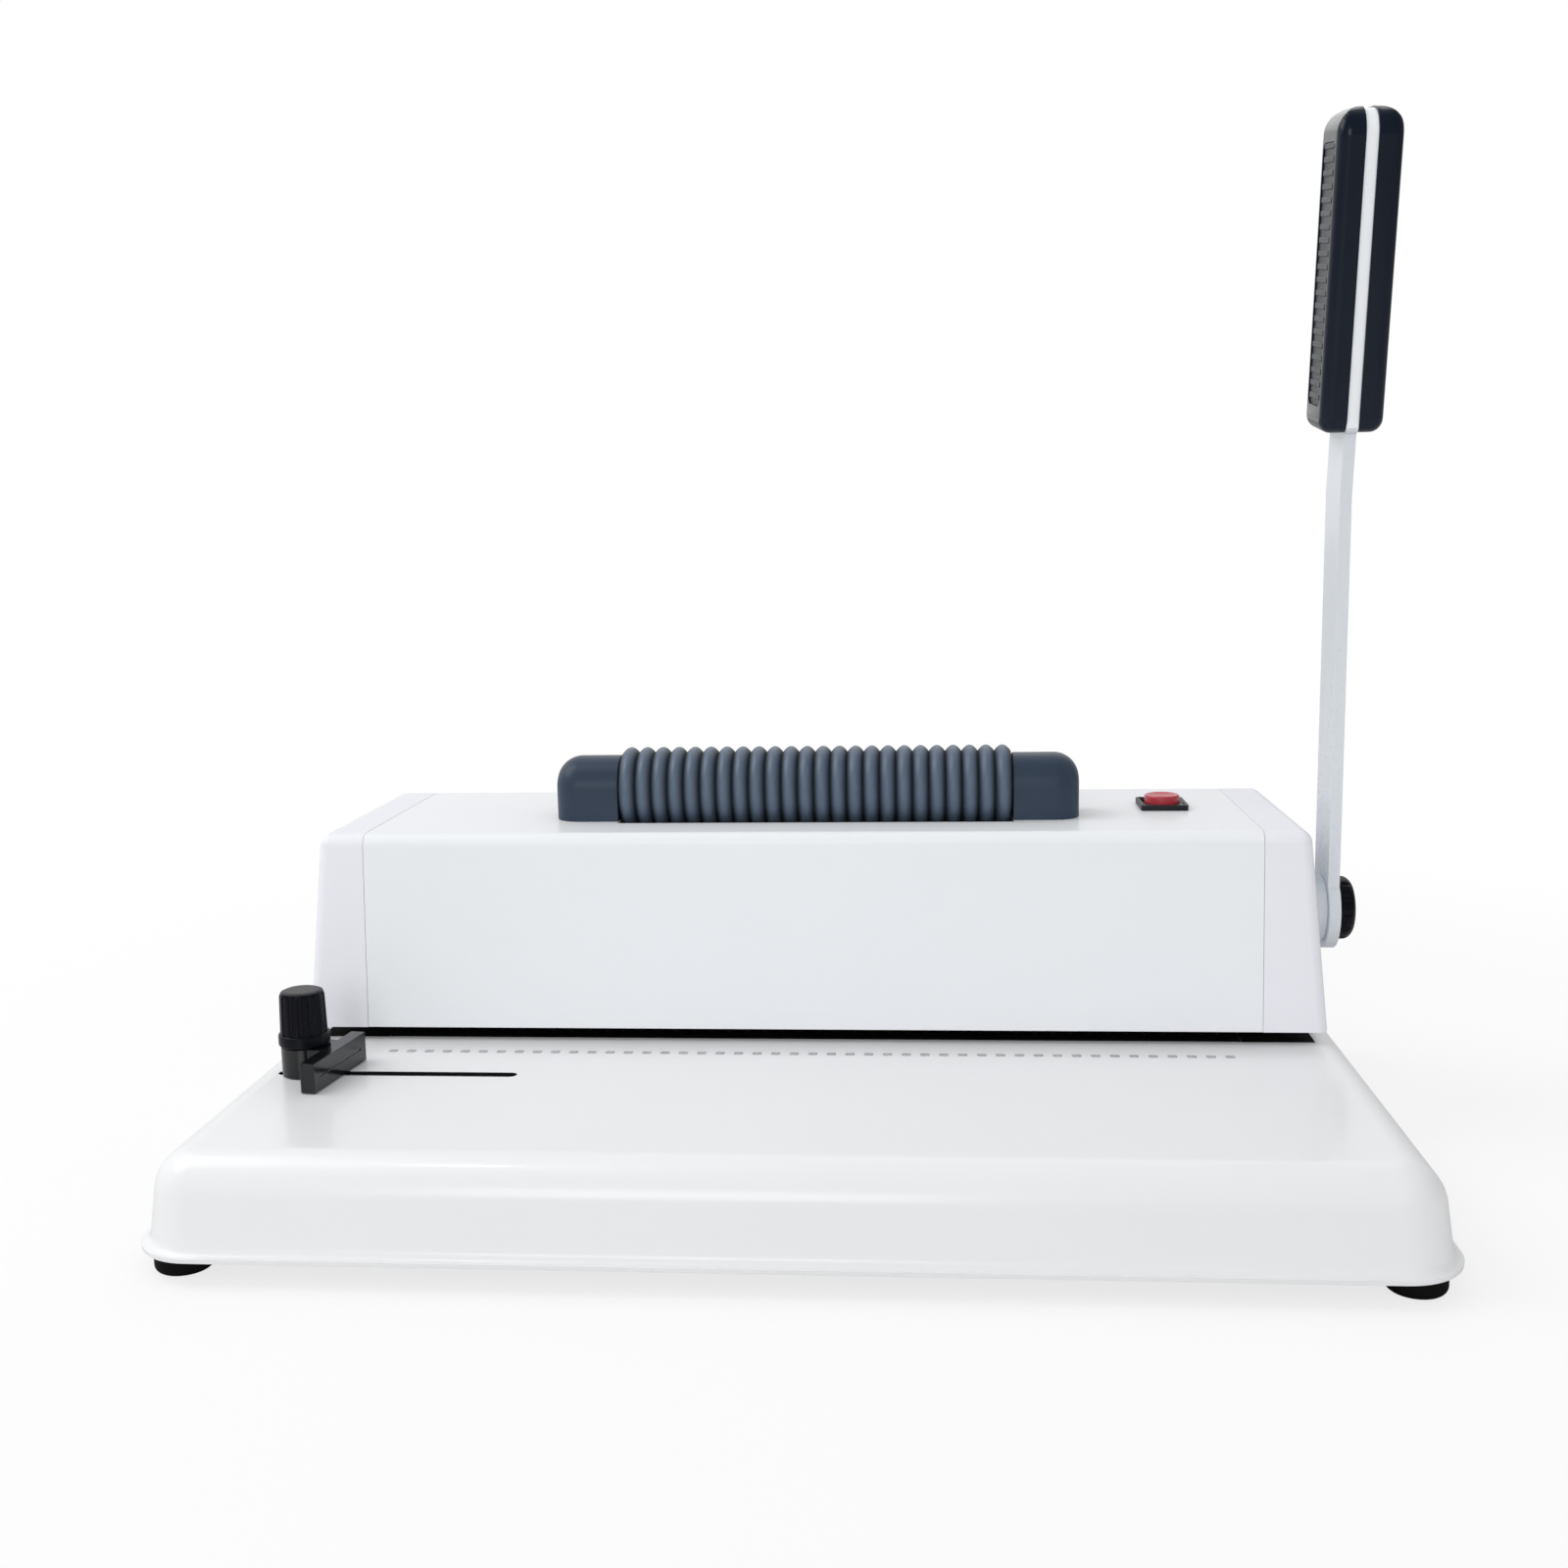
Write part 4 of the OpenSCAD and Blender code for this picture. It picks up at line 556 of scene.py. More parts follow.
zinc_plate = plated_steel("zinc_plate", (0.62, 0.63, 0.65), (0.48, 0.49, 0.51), (30, 900, 900), 0.28)
ground_steel = plated_steel("ground_steel", (0.52, 0.53, 0.55), (0.36, 0.37, 0.39), (40, 1600, 1600), 0.22)
bright_zinc = plated_steel("bright_zinc", (0.66, 0.66, 0.67), (0.5, 0.5, 0.5), (700, 700, 700), 0.22)
bush_bronze = plated_steel("sintered_bronze", (0.58, 0.42, 0.21), (0.4, 0.28, 0.13), (900, 900, 900), 0.34)
aluminium = plated_steel("turned_aluminium", (0.72, 0.72, 0.7), (0.58, 0.58, 0.57), (1800, 60, 60), 0.25)
black_oxide = plated_steel("black_oxide", (0.06, 0.06, 0.065), (0.1, 0.1, 0.1), (800, 800, 800), 0.4)
blued_steel = plated_steel("blued_steel", (0.025, 0.026, 0.03), (0.045, 0.046, 0.05), (40, 1400, 1400), 0.45)
coat(zinc_plate, "bottom_plate", "tray_rails", "left_side_plate", "right_side_plate", "motor_bracket")
coat(bright_zinc, "foot_screws", "base_posts", "base_screws", "frame_screws", "motor", "guide_bolt")
coat(blued_steel, "die_plate", "back_gauge", "guide_plate")
coat(ground_steel, "guide_posts", "drive_shaft", "drive_pinions", "punch_beam",
     "pin_plate", "punch_pins", "punch_racks", "roller_shaft", "motor_shaft")
coat(bush_bronze, "shaft_bushes", "roller_bushes")
coat(aluminium, "roller_pulley", "motor_pulley")
coat(black_oxide, "block_screws", "beam_screws", "motor_screws")
# Painted shade: the wall of the pan's slot gets the dark blued steel instead of the enamel, so the slot shows
# dark.
paint_faces(pan, white_enamel, blued_steel, lambda c, n: abs(n.z) < 0.3 and c.z > plate_z - 0.002
            and abs(c.y - bolt.y) < slot_half + 0.0002 and slot_left - 0.0005 < c.x < slot_right + 0.0005)


# Return springs: two coils of plated wire around the guide posts, which lift the punch again.
# Their lower ends stand on the guide plate. The real ones shorten by the punch's stroke; these stay at their
# rest length on the base.
springs = lifted("return_springs_wire", "return_springs")
soften(springs, 0, smooth=60)
dress(springs, "base", bright_zinc, "zinc_steel", "return_springs")
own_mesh(springs)


# Cover: one sheet of steel, folded over the punch from the front to the top, with a satin powder coat.
# It has a long opening for the roller, one for the belt and one for the push button.
cover_low, cover_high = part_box("cover")
seam_x, seam_gap = 0.156, 0.00003
front_lean, fold_r = 0.005, 0.004
cover_top = cover_high.z
cover = block("cover_sheet", (seam_gap - seam_x, cover_low.y, cover_low.z),
              (seam_x - seam_gap, cover_high.y, cover_top))
pick_edges(cover, lambda a, b: min(a.z, b.z) > cover_top - 0.001 and max(a.y, b.y) < cover_low.y + 0.001)
bpy.ops.transform.translate(value=(0, front_lean, 0))
fold_y = cover_low.y + front_lean + 0.001
round_edges(cover, lambda a, b: min(a.z, b.z) > cover_top - 0.001 and max(a.y, b.y) < fold_y, fold_r, 10)
drop_faces(cover, lambda c, n: n.z < -0.9 or n.y > 0.9 or abs(n.x) > 0.9)
thicken(cover, sheet_wall)
under_top, over_top = cover_top - 0.003, cover_top + 0.002
sleeve_low, sleeve_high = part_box("roller_sleeve")
axle = pivot["roller_spin"]
carve(cover, block("roller_opening", (sleeve_low.x - 0.0005, sleeve_low.y, under_top),
                   (sleeve_high.x + 0.0005, sleeve_high.y, over_top)))
belt_low, belt_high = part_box("drive_belt")
belt_gap, belt_half = 0.0024, 0.0101
carve(cover, block("belt_opening", (belt_low.x - belt_gap, axle.y - belt_half, under_top),
                   (belt_high.x + belt_gap, axle.y + belt_half, over_top)))
bezel_low, bezel_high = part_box("button_bezel")
bezel_rim = 0.0018
carve(cover, block("button_opening", (bezel_low.x + bezel_rim, bezel_low.y + bezel_rim, under_top),
                   (bezel_high.x - bezel_rim, bezel_high.y - bezel_rim, over_top)))
soften(cover, 0.0003)
satin_coat = stove_enamel("satin_coat", (0.845, 0.865, 0.89), (0.825, 0.845, 0.875),
                          gloss=0.34, peel=0.05, shine=0.1)
dress(cover, "base", satin_coat, "white_cover", "cover")


# Rear cover: a flat sheet with vent slots, coated as the cover is.
# Four screws fix it to the side plates. They have round pan heads with a driver's cross.
def cross_recess(screws, top, out):
    """Cuts the driver's cross into a screw head whose top lies at a point and looks along an axis."""
    out = Vector(out)
    blade_half, blade_thin, blade_deep = 0.0018, 0.0004, 0.0012
    for blade in (Vector((0, 0, 1)), out.cross(Vector((0, 0, 1)))):
        half = blade * blade_half + out.cross(blade) * blade_thin
        corners = (top - out * blade_deep - half, top + out * 0.001 + half)
        low = [min(pair) for pair in zip(*corners)]
        high = [max(pair) for pair in zip(*corners)]
        carve(screws, block("driver_blade", low, high))


rear_sheet = lifted("rear_cover_sheet", "rear_cover")
soften(rear_sheet, 0.0003)
dress(rear_sheet, "base", satin_coat, "white_cover", "rear_cover")
rear_heads = lifted("rear_screw_heads", "rear_screws")
rear_low, rear_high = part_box("rear_screws")
rear_head_r = 0.003
round_edges(rear_heads, lambda a, b: min(a.y, b.y) > rear_high.y - 0.0001, 0.0008, 4)
for x in (rear_low.x + rear_head_r, rear_high.x - rear_head_r):
    for z in (rear_low.z + rear_head_r, rear_high.z - rear_head_r):
        cross_recess(rear_heads, Vector((x, rear_high.y, z)), (0, 1, 0))
soften(rear_heads, 0)
dress(rear_heads, "base", bright_zinc, "zinc_steel", "rear_screws")


# End covers: two moulded caps with drafted ends and round edges, screwed to the side plates from outside.
# Their plastic is a shade cooler than the paint, and the right one lets the lever's shaft through.
def moulded_plastic(name, colour, shade, gloss, grain, depth, shine=0.5):
    """Moulded plastic: an even colour, a fine eroded grain and edges that are rubbed a little lighter."""
    made, kit, spot = new_material(name)
    cloud = spot.noise(30.0, 4.0)
    fine = spot.noise(grain, 2.0)
    edge = kit.node("ShaderNodeNewGeometry", out="Pointiness").clamped(0.52, 0.62)
    kit.shader({"Base Color": (cloud.clamped(0.3, 0.75) * 0.6 + edge * 0.4).between(colour, shade),
                "Roughness": gloss + 0.08 * cloud + 0.06 * fine,
                "Specular IOR Level": shine,
                "Normal": fine.raised(depth, 0.0002)})
    return made


cap_plastic = moulded_plastic("cap_plastic", (0.82, 0.83, 0.885), (0.835, 0.845, 0.895),
                              gloss=0.34, grain=1400.0, depth=0.05, shine=0.25)
cap_low, cap_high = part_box("right_end_cover")
shaft = pivot["lever_swing"]
cap_draft, cap_wall, cap_r = 0.006, 0.0025, 0.004
boss_r, recess_r, shaft_hole_r = 0.005, 0.0038, 0.0068
drafted_x, cap_top = cap_high.x - cap_draft, cap_high.z - 0.001
cap_screws = ((0.034, 0.095), (0.086, 0.095), (0.086, 0.0545))
for side, end_name in ((1, "right"), (-1, "left")):
    near, far = sorted((side * (seam_x + seam_gap), side * cap_high.x))
    cap = block(end_name + "_end_cap", (near, cap_low.y, cap_low.z), (far, cap_high.y, cap_high.z))
    pick_edges(cap, lambda a, b: min(a.z, b.z) > cap_top and min(abs(a.x), abs(b.x)) > cap_high.x - 0.001)
    bpy.ops.transform.translate(value=(-side * cap_draft, 0, 0))
    pick_edges(cap, lambda a, b: min(a.z, b.z) > cap_top and max(a.y, b.y) < cap_low.y + 0.001)
    bpy.ops.transform.translate(value=(0, front_lean, 0))
    round_edges(cap, lambda a, b: (min(a.z, b.z) > cap_top and max(a.y, b.y) < fold_y)
                or (min(abs(a.x), abs(b.x)) > drafted_x - 0.001
                    and (min(a.z, b.z) > cap_top or abs(a.z - b.z) > 0.05)), cap_r, 8)
    drop_faces(cap, lambda c, n: n.z < -0.9 or (abs(n.x) > 0.99 and abs(c.x) < seam_x + 0.001))
    thicken(cap, cap_wall)
    for y, z in cap_screws:
        skin = cap_high.x - cap_draft * (z - cap_low.z) / (cap_high.z - cap_low.z)
        carve(cap, rod("boss", (side * 0.1551, y, z), (side * (skin - 0.0012), y, z), boss_r, 32), "UNION")
        carve(cap, rod("recess", (side * 0.167, y, z), (side * 0.18, y, z), recess_r, 32))
    if side > 0:
        carve(cap, rod("shaft_hole", (0.15, shaft.y, shaft.z), (0.18, shaft.y, shaft.z), shaft_hole_r))
    soften(cap, 0.0003)
    dress(cap, "base", cap_plastic, "white_plastic", end_name + "_end_cover")
end_heads = lifted("end_cover_screw_heads", "end_cover_screws")
end_head_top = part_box("end_cover_screws")[1].x
round_edges(end_heads, lambda a, b: min(abs(a.x), abs(b.x)) > end_head_top - 0.0001, 0.0009, 4)
for side in (-1, 1):
    for y, z in cap_screws:
        cross_recess(end_heads, Vector((side * end_head_top, y, z)), (side, 0, 0))
soften(end_heads, 0)
dress(end_heads, "base", bright_zinc, "zinc_steel", "end_cover_screws")


# Roller housings: two hollow caps of slate-grey plastic on the cover, round above and at the outer corner.
# Each holds a bush for the roller's shaft, and the right one covers the belt.
slate_plastic = moulded_plastic("slate_plastic", (0.027, 0.043, 0.072), (0.04, 0.059, 0.092),
                                gloss=0.3, grain=1800.0, depth=0.1, shine=0.22)
crown_r, corner_r, hood_wall, bush_r = 0.0114, 0.0088, 0.002, 0.00605
for side, end_name in ((1, "right"), (-1, "left")):
    hood_low, hood_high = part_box(end_name + "_roller_housing")
    inner, outer = (hood_low.x, hood_high.x) if side > 0 else (hood_high.x, hood_low.x)
    hood = block(end_name + "_roller_hood", hood_low, hood_high)
    round_edges(hood, lambda a, b: min(a.z, b.z) > hood_high.z - 0.0006
                and abs(a.x - b.x) > 0.01, crown_r, 14)
    round_edges(hood, lambda a, b: max(abs(a.x - outer), abs(b.x - outer)) < 1e-5
                and max(a.z, b.z) > hood_low.z + 0.0001, corner_r, 12)
    drop_faces(hood, lambda c, n: n.z < -0.9)
    thicken(hood, hood_wall)
    carve(hood, rod("bush_hole", (inner - side * 0.001, axle.y, axle.z),
                    (inner + side * 0.004, axle.y, axle.z), bush_r))
    soften(hood, 0.0005, 3, 50, 40)
    dress(hood, "base", slate_plastic, "slate_plastic", end_name + "_roller_housing")


# Roller: a rubber sleeve with twenty-four round ribs, which grips the coil and turns it into the holes.
# The crests of the ribs are worn smooth, and the colour is painted dark in the grooves as painted shade,
# paler at the crests.
def ribbed_rubber(name, groove, crest, low, high):
    """Rubber whose colour and gloss follow the distance from the roller's axis; the colour is painted shade
    in the grooves against paler crests.
    """
    made, kit, spot = new_material(name)
    across = kit.node("ShaderNodeSeparateXYZ", {}, {0: spot}, "Y") - axle.y
    rise = kit.node("ShaderNodeSeparateXYZ", {}, {0: spot}, "Z") - axle.z
    crest_wear_and_groove_shade = ((across * across + rise * rise) ** 0.5).clamped(low, high)
    dust = spot.noise(160.0, 6.0, 0.7)
    fine = spot.noise(1700.0, 3.0)
    # Painted shade: the colour darkens towards the grooves with the distance from the axis, and the crests
    # stay paler.
    kit.shader({"Base Color": (crest_wear_and_groove_shade * (0.75 + 0.5 * dust)).between(groove, crest),
                "Roughness": 0.55 - 0.2 * crest_wear_and_groove_shade + 0.1 * dust,
                "Specular IOR Level": 0.45,
                "Normal": fine.raised(0.2, 0.0002)})
    return made


rib_count, steps, rib_r, groove_r = 24, 12, 0.015, 0.0128
rib_pitch = (sleeve_high.x - sleeve_low.x) / rib_count
roller = rod("roller_ribbed_sleeve", (sleeve_low.x, axle.y, axle.z),
             (sleeve_low.x + rib_pitch, axle.y, axle.z), rib_r, 72)
pick_faces(roller, lambda c, n: abs(n.x) > 0.9)
bpy.ops.mesh.delete(type="ONLY_FACE")
pick_edges(roller, lambda a, b: abs(a.x - b.x) > rib_pitch / 2)
bpy.ops.mesh.subdivide(number_cuts=steps - 1)
for step in range(steps + 1):
    place = sleeve_low.x + rib_pitch * step / steps
    swell = 0.5 - 0.5 * cos(2 * pi * step / steps)
    narrow = (groove_r + (rib_r - groove_r) * swell ** 0.45) / rib_r
    pick_edges(roller, lambda a, b: max(abs(a.x - place), abs(b.x - place)) < 1e-5)
    bpy.ops.transform.resize(value=(1, narrow, narrow), center_override=(0, axle.y, axle.z))
repeat(roller, rib_count, (rib_pitch, 0, 0), weld=True)
for end in (sleeve_low.x, sleeve_high.x):
    pick_edges(roller, lambda a, b: max(abs(a.x - end), abs(b.x - end)) < 1e-5)
    bpy.ops.mesh.edge_face_add()
bpy.ops.mesh.select_all(action="SELECT")
bpy.ops.mesh.normals_make_consistent(inside=False)
bpy.ops.object.mode_set(mode="OBJECT")
soften(roller, 0, smooth=60)
# The groove colour is painted shade, darker than the crest colour.
rib_rubber = ribbed_rubber("rib_rubber", (0.017, 0.026, 0.039), (0.093, 0.13, 0.188), 0.0132, 0.0149)
dress(roller, "roller", rib_rubber, "slate_rubber", "roller_sleeve")


# Push button: a black bezel clipped into the cover, and a red cap with a dished top that starts the roller.
# The cap is glossy, and its switch hangs under the cover.
black_plastic = moulded_plastic("black_plastic", (0.006, 0.006, 0.008), (0.018, 0.018, 0.021),
                                gloss=0.36, grain=1900.0, depth=0.1, shine=0.3)
button_low, button_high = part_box("button_cap")
middle = (button_low + button_high) / 2
button_r = (button_high.x - button_low.x) / 2
bezel = block("button_bezel_frame", (bezel_low.x, bezel_low.y, cover_top), bezel_high)
round_edges(bezel, lambda a, b: abs(a.z - b.z) > 0.001, 0.0015, 5)
pick_faces(bezel, lambda c, n: n.z > 0.9)
bpy.ops.mesh.inset(thickness=0.0011)
bpy.ops.mesh.inset(thickness=0.0003, depth=-0.0004)
carve(bezel, rod("cap_hole", (middle.x, middle.y, under_top),
                 (middle.x, middle.y, over_top + 0.002), button_r + 0.0003))
soften(bezel, 0.00025, 3)
dress(bezel, "base", black_plastic, "black_plastic", "button_bezel")
coat(black_plastic, "button_switch")
button = rod("button_red_cap", (middle.x, middle.y, button_low.z),
             (middle.x, middle.y, button_high.z), button_r, 64)
round_edges(button, lambda a, b: min(a.z, b.z) > button_high.z - 0.0001, 0.0007, 5)
pick_faces(button, lambda c, n: n.z > 0.9999)
bpy.ops.mesh.inset(thickness=0.0004)
dish = ((0.0005, -0.00022), (0.0009, -0.0003), (0.0011, -0.00024), (0.0012, -0.00016), (0.0011, -0.00006))
for width, depth in dish:
    bpy.ops.mesh.inset(thickness=width, depth=depth)
bpy.ops.object.mode_set(mode="OBJECT")
soften(button, 0, smooth=40)
red_gloss = moulded_plastic("red_gloss", (0.42, 0.02, 0.035), (0.5, 0.06, 0.08),
                            gloss=0.16, grain=900.0, depth=0.04)
dress(button, "button", red_gloss, "red_plastic", "button_cap")


# Power inlet: a moulded cup that clips into the rear cover, with three plated blades for the lead's socket.
# Its rim overlaps the sheet, and one side of the cup is cut at both corners.
inlet = lifted("power_inlet_cup", "power_inlet")
soften(inlet, 0.0003)
inlet_low, inlet_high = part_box("power_inlet")
socket = (inlet_low + inlet_high) / 2
blade_places = ((-0.007, -0.002), (0.007, -0.002), (0, 0.002))
blades = [(socket.x + shift, socket.z + rise) for shift, rise in blade_places]
blade_back, blade_front = inlet_low.y + 0.0022, inlet_low.y + 0.0112
paint_faces(inlet, black_plastic, bright_zinc, lambda c, n: blade_back < c.y < blade_front
            and any(abs(c.x - x) < 0.0011 and abs(c.z - z) < 0.0021 for x, z in blades))
dress(inlet, "base", black_plastic, "black_plastic", "power_inlet")


# Throat shade: two strips of black film laid on the plate beside the die, under the end covers, as painted
# shade.
# They make the throat's ends as dark as the blued die between them.
film_inner, film_outer, film_back, film_thin = die_high.x + 0.0001, 0.1742, 0.0236, 0.0001
# Painted shade: a black sheet where the throat lies only in shade.
shade_film = block("throat_shade_strips", (film_inner, die_low.y - 0.0006, plate_z),
             (film_outer, film_back, plate_z + film_thin))
copies(shade_film, [(-film_inner - film_outer, 0, 0)])
soften(shade_film, 0)
dress(shade_film, "base", foot_rubber, "black_rubber")


# Lever: a flat steel bar, painted light grey, with a round lower end and a slight bend below the grip.
# The bar's edge between the grip's scales has a lighter copy of the paint, as painted light against the shade
# the scales cast there, and a turned hub keeps the bar off the end cover.
grey_paint = stove_enamel("grey_paint", (0.72, 0.76, 0.80), (0.68, 0.72, 0.765), gloss=0.24, peel=0.01)
# A lighter copy of the grey paint: painted light for the bar's edge between the grip's scales.
shade_lifted_paint = stove_enamel("shade_lifted_paint", (0.93, 0.955, 0.985), (0.91, 0.94, 0.97), gloss=0.24, peel=0.01)
bar = lifted("lever_bar_painted", "lever_bar")
soften(bar, 0.0004, 3)
grip_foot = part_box("outer_grip_scale")[0].z + 0.0013
# Painted light: the bar's edge faces inside the grip get the lighter paint, to lift the shade between the
# scales.
paint_faces(bar, grey_paint, shade_lifted_paint, lambda c, n: c.z > grip_foot and abs(n.x) < 0.9)
dress(bar, "lever", grey_paint, "lever_paint", "lever_bar")
hub = lifted("lever_hub_turned", "lever_hub")
soften(hub, 0.0004, 3)
dress(hub, "lever", grey_paint, "lever_paint", "lever_hub")


# Grip: two moulded scales screwed to the bar, whose edge shows as a pale line between them.
# Their broad faces carry a sunk, finely pimpled panel with cross ridges; the edges and the crown are smooth.
# They are built upright on the bar's bend, and then leaned back as the bar is.
def pimpled_plastic(name, colour, shade):
    """Grip plastic with rows of small round pimples."""
    made, kit, spot = new_material(name)
    dots = kit.node("ShaderNodeTexVoronoi", {"feature": "F1"},
                    {"Vector": spot, "Scale": 720.0, "Randomness": 0.15}, "Distance")
    cloud = spot.noise(60.0, 4.0)
    bump = kit.node("ShaderNodeBump", {"invert": True}, {"Strength": 0.5, "Distance": 0.0004, "Height": dots})
    kit.shader({"Base Color": (dots.clamped(0.1, 0.6) * 0.7 + cloud * 0.3).between(shade, colour),
                "Roughness": 0.3 + 0.12 * cloud,
                "Specular IOR Level": 0.2,
                "Normal": bump})
    return made


grip_plastic = moulded_plastic("grip_plastic", (0.004, 0.0078, 0.0165), (0.009, 0.015, 0.028),
                               gloss=0.14, grain=1500.0, depth=0.05, shine=0.22)
grip_panel = pimpled_plastic("grip_panel", (0.006, 0.0105, 0.018), (0.016, 0.023, 0.034))
bar_low, bar_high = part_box("lever_bar")
bend = Vector(((bar_low.x + bar_high.x) / 2, shaft.y, 0.221))
bar_half, scale_thick = (bar_high.x - bar_low.x) / 2, 0.0085
lean_back = radians(9)
up = Vector((0, -sin(lean_back), cos(lean_back)))
grip_half, grip_start, grip_end = 0.0135, 0.022, 0.1249
panel_half, panel_start, panel_end, panel_deep = 0.0088, 0.0305, 0.1145, 0.0005
ridge_half, ridge_start, ridge_wide, ridge_pitch, ridge_count = 0.0074, 0.0325, 0.0022, 0.0042, 20
grip_screw_rises = (0.044, 0.100)
for side, scale_name in ((1, "outer"), (-1, "inner")):
    broad = side * (bar_half + scale_thick)
    near, far = sorted((side * bar_half, broad))
    scale = block(scale_name + "_grip_moulding", (near, -grip_half, grip_start), (far, grip_half, grip_end))
    round_edges(scale, lambda a, b: abs(a.x - b.x) > 0.005 and min(a.z, b.z) > grip_end - 0.001, 0.0095, 10)
    round_edges(scale, lambda a, b: abs(a.x - b.x) > 0.005 and max(a.z, b.z) < grip_start + 0.0001, 0.005, 6)
    round_edges(scale, lambda a, b: max(abs(a.x - broad), abs(b.x - broad)) < 1e-5, 0.0042, 7)
    crown = block("crown_tool", (-abs(broad), -0.02, 0), (abs(broad), 0.02, grip_end))
    round_edges(crown, lambda a, b: min(a.z, b.z) > grip_end - 0.001 and abs(a.y - b.y) > 0.03, 0.0082, 12)
    carve(scale, crown, "INTERSECT")
    low, high = sorted((broad - side * panel_deep, broad + side * 0.001))
    panel = block("panel_tool", (low, -panel_half, panel_start), (high, panel_half, panel_end))
    round_edges(panel, lambda a, b: abs(a.x - b.x) > 0.001, 0.003, 6)
    carve(scale, panel)
    paint_faces(scale, grip_plastic, grip_panel,
                lambda c, n: n.x * side > 0.99 and 0.0002 < abs(c.x - broad) < 0.0008)
    low, high = sorted((broad - side * 0.0007, broad - side * 0.00005))
    ridges = block("ridges", (low, -ridge_half, ridge_start), (high, ridge_half, ridge_start + ridge_wide))
    round_edges(ridges, lambda a, b: max(abs(a.x - broad), abs(b.x - broad)) < 1e-4, 0.0005, 3)
    ridges.data.materials.append(grip_panel)
    repeat(ridges, ridge_count, (0, 0, ridge_pitch))
    carve(scale, ridges, "UNION")
    take(scale)
    scale.rotation_euler = (lean_back, 0, 0)
    scale.location = bend
    bpy.ops.object.transform_apply(location=True, rotation=True, scale=True)
    if side > 0:
        for rise in grip_screw_rises:
            seat = bend + up * rise
            carve(scale, rod("head_recess", seat + Vector((0.0075, 0, 0)),
                             seat + Vector((0.013, 0, 0)), 0.00355, 32))
    soften(scale, 0, smooth=38)
    dress(scale, "lever", grip_plastic, "grip_plastic", scale_name + "_grip_scale")
grip_heads = lifted("grip_screw_heads", "grip_screws")
grip_head_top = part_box("grip_screws")[1].x
round_edges(grip_heads, lambda a, b: min(a.x, b.x) > grip_head_top - 0.0002, 0.0008, 4)
for rise in grip_screw_rises:
    seat = bend + up * rise
    cross_recess(grip_heads, Vector((grip_head_top, seat.y, seat.z)), (1, 0, 0))
soften(grip_heads, 0)
dress(grip_heads, "lever", bright_zinc, "zinc_steel", "grip_screws")


# Lever knob: a black moulded nut with a domed face and finger flutes.
# It is screwed on the shaft's end, and clamps the lever against its hub.
knob_plastic = moulded_plastic("knob_plastic", (0.003, 0.0034, 0.006), (0.008, 0.0088, 0.013),
                               gloss=0.2, grain=1700.0, depth=0.08, shine=0.12)
nut_low, nut_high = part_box("lever_knob")
nut_r, bore_r, bore_start = 0.01125, 0.00606, 0.186
nut_flutes, flute_r, flute_start, flute_end = 12, 0.0016, 0.1885, 0.1965
lever_nut = rod("lever_knob_moulding", (nut_low.x, shaft.y, shaft.z),
                (nut_high.x, shaft.y, shaft.z), nut_r, 96)
round_edges(lever_nut, lambda a, b: min(a.x, b.x) > nut_high.x - 0.00005, 0.0036, 8)
round_edges(lever_nut, lambda a, b: max(a.x, b.x) < nut_low.x + 0.00005, 0.0005, 3)
for k in range(nut_flutes):
    turn = 2 * pi * k / nut_flutes
    out = Vector((0, -sin(turn), cos(turn))) * (nut_r + 0.001)
    carve(lever_nut, rod("flute", Vector((flute_start, shaft.y, shaft.z)) + out,
                         Vector((flute_end, shaft.y, shaft.z)) + out, flute_r, 20))
shaft_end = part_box("drive_shaft")[1].x
carve(lever_nut, rod("shaft_bore", (bore_start, shaft.y, shaft.z),
                     (shaft_end + 0.0004, shaft.y, shaft.z), bore_r))
soften(lever_nut, 0.0003, 3, 35, 40)
dress(lever_nut, "lever_knob", knob_plastic, "knob_plastic", "lever_knob")


# Side guide: a moulded stop for the paper's edge, with a round boss on the bolt and a straight fence.
# A fluted knob on the bolt clamps it anywhere along the slot.
guide_plastic = moulded_plastic("guide_plastic", (0.004, 0.0048, 0.0056), (0.01, 0.011, 0.013),
                                gloss=0.08, grain=1500.0, depth=0.03, shine=0.5)
guide_low, guide_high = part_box("side_guide")
foot, head, hole_r = guide_low.z, guide_high.z, 0.00206
stop_r, web_half, guide_turn = 0.00775, 0.00625, radians(-8.2)
fence_inner, fence_outer, fence_front, fence_back = 0.0089, 0.0139, -0.0202, 0.0158
stop = rod("side_guide_moulding", (0, 0, foot), (0, 0, head), stop_r, 56)
carve(stop, block("web", (0, -web_half, foot), (fence_inner + 0.0025, web_half, head)), "UNION")
carve(stop, block("fence", (fence_inner, fence_front, foot), (fence_outer, fence_back, head)), "UNION")
carve(stop, block("groove", (fence_outer - 0.0003, fence_front + 0.0037, foot + 0.0045),
                  (fence_outer + 0.0006, fence_back - 0.0037, foot + 0.0053)))
carve(stop, rod("bolt_hole", (0, 0, 0.03), (0, 0, 0.05), hole_r, 32))
take(stop)
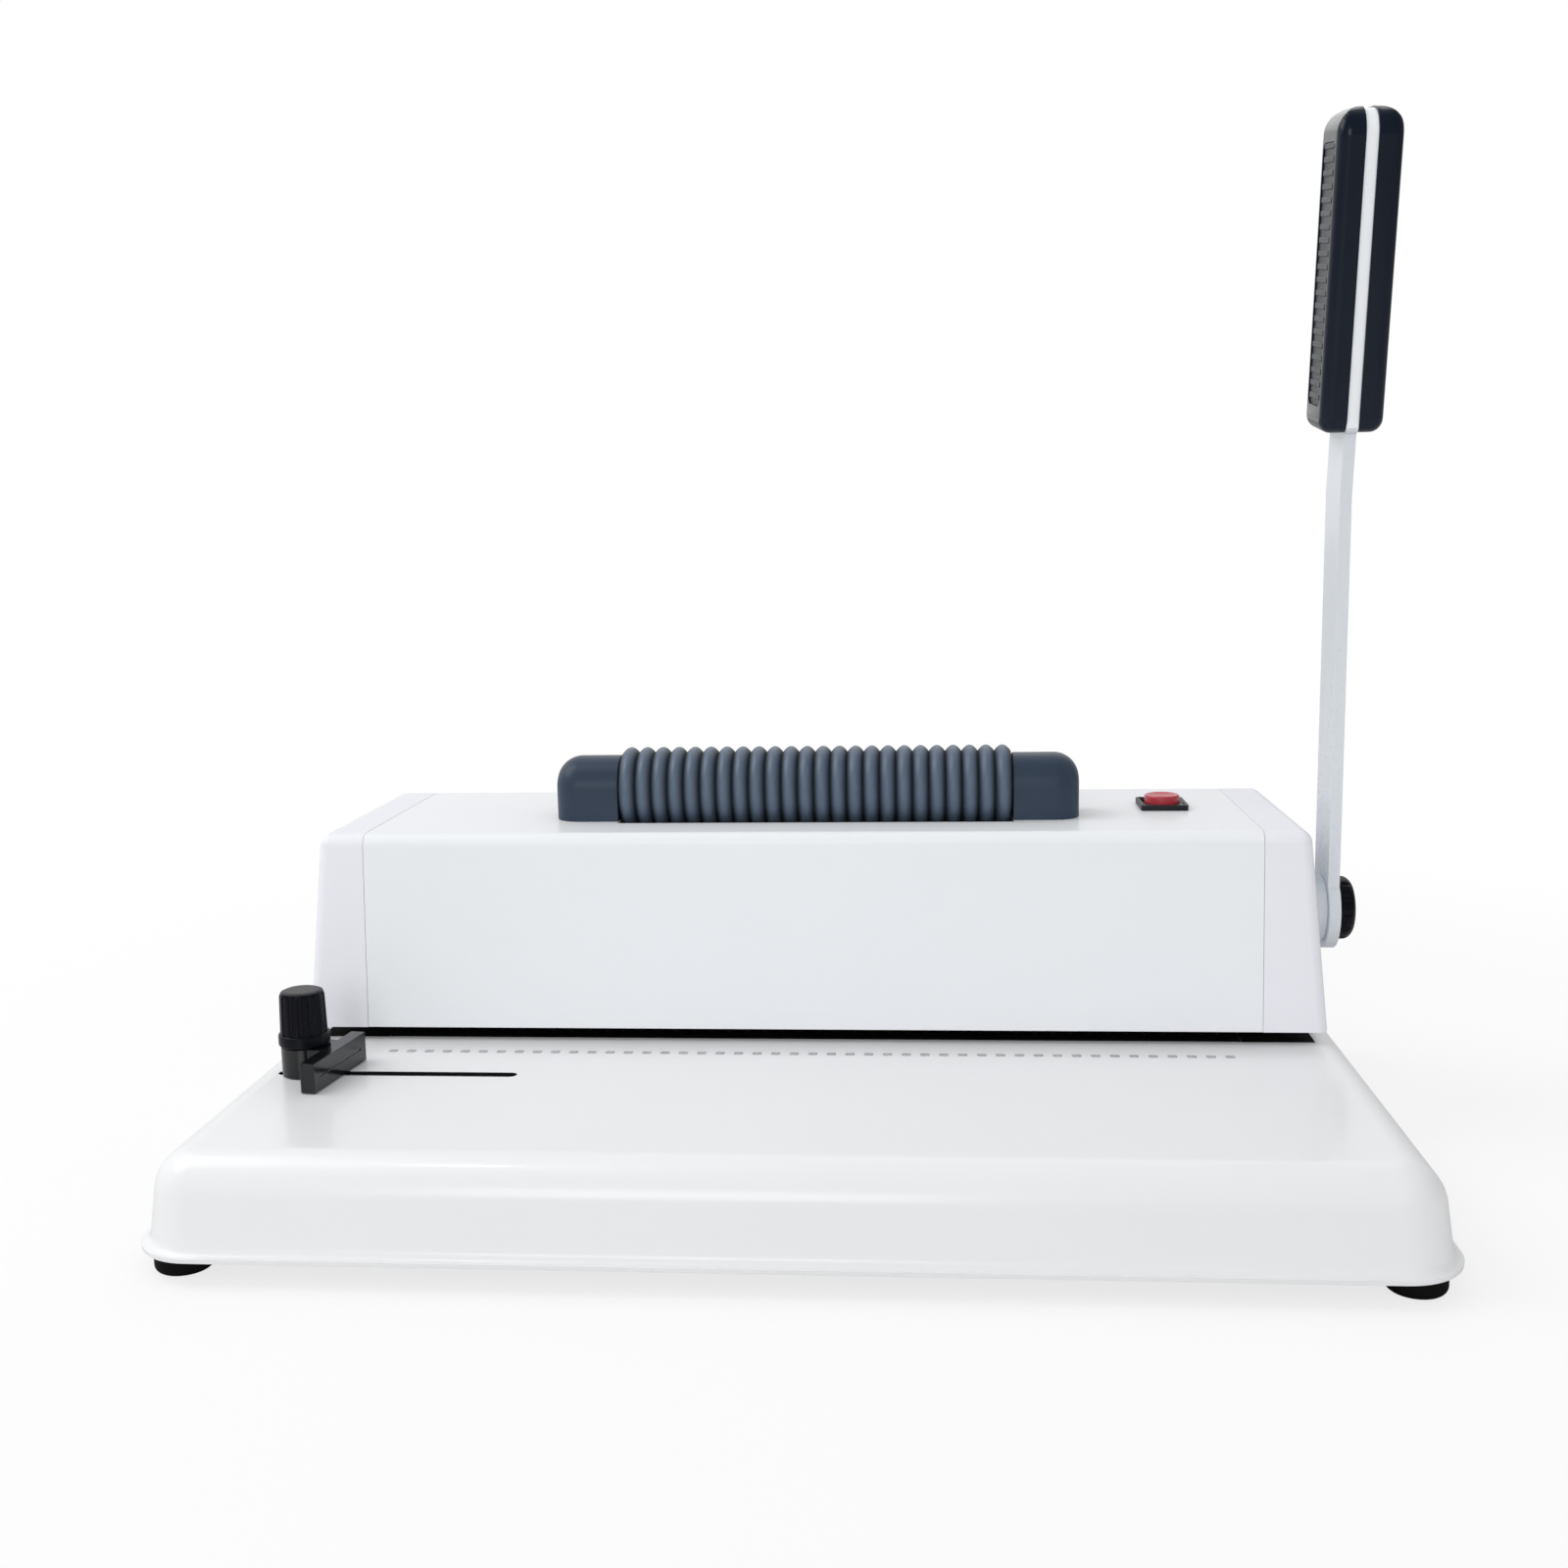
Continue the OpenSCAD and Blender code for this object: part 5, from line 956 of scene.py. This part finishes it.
stop.rotation_euler = (0, 0, guide_turn)
stop.location = (bolt.x, bolt.y, 0)
bpy.ops.object.transform_apply(location=True, rotation=True, scale=True)
soften(stop, 0.0004, 3)
dress(stop, "guide", guide_plastic, "guide_plastic", "side_guide")

knob_foot, knob_tall, knob_flutes = 0.0464, 0.0184, 14
skirt_r, skirt_top, groove_foot, groove_top = 0.0084, 0.0504, 0.05, 0.066
fresh()
bpy.ops.mesh.primitive_cone_add(vertices=84, radius1=0.0078, radius2=0.0073, depth=knob_tall,
                                location=(bolt.x, bolt.y, knob_foot + knob_tall / 2))
guide_nut = settle("guide_knob_moulding")
round_edges(guide_nut, lambda a, b: min(a.z, b.z) > knob_foot + knob_tall - 0.0001, 0.0017, 2)
for k in range(knob_flutes):
    turn = 2 * pi * k / knob_flutes
    out = Vector((cos(turn), sin(turn), 0))
    carve(guide_nut, rod("flute", Vector((bolt.x, bolt.y, groove_foot)) + out * 0.0082,
                         Vector((bolt.x, bolt.y, groove_top)) + out * 0.0077, 0.0010, 16))
skirt = rod("skirt", (bolt.x, bolt.y, knob_foot), (bolt.x, bolt.y, skirt_top), skirt_r, 84)
round_edges(skirt, lambda a, b: abs(a.z - b.z) < 1e-5, 0.0007, 3)
carve(guide_nut, skirt, "UNION")
carve(guide_nut, rod("bolt_hole", (bolt.x, bolt.y, 0.04), (bolt.x, bolt.y, 0.0624), hole_r, 32))
soften(guide_nut, 0, smooth=40)
dress(guide_nut, "guide_knob", knob_plastic, "knob_plastic", "guide_knob")


# Chip tray: a moulded drawer under the die that catches the punched paper.
# It slides in two rails, and is pulled out at the back by a lip.
tray_plastic = moulded_plastic("tray_plastic", (0.68, 0.69, 0.72), (0.71, 0.72, 0.745),
                               gloss=0.34, grain=1300.0, depth=0.08)
tray = lifted("chip_tray_moulding", "chip_tray")
soften(tray, 0.0003)
dress(tray, "tray", tray_plastic, "tray_plastic", "chip_tray")


fresh()
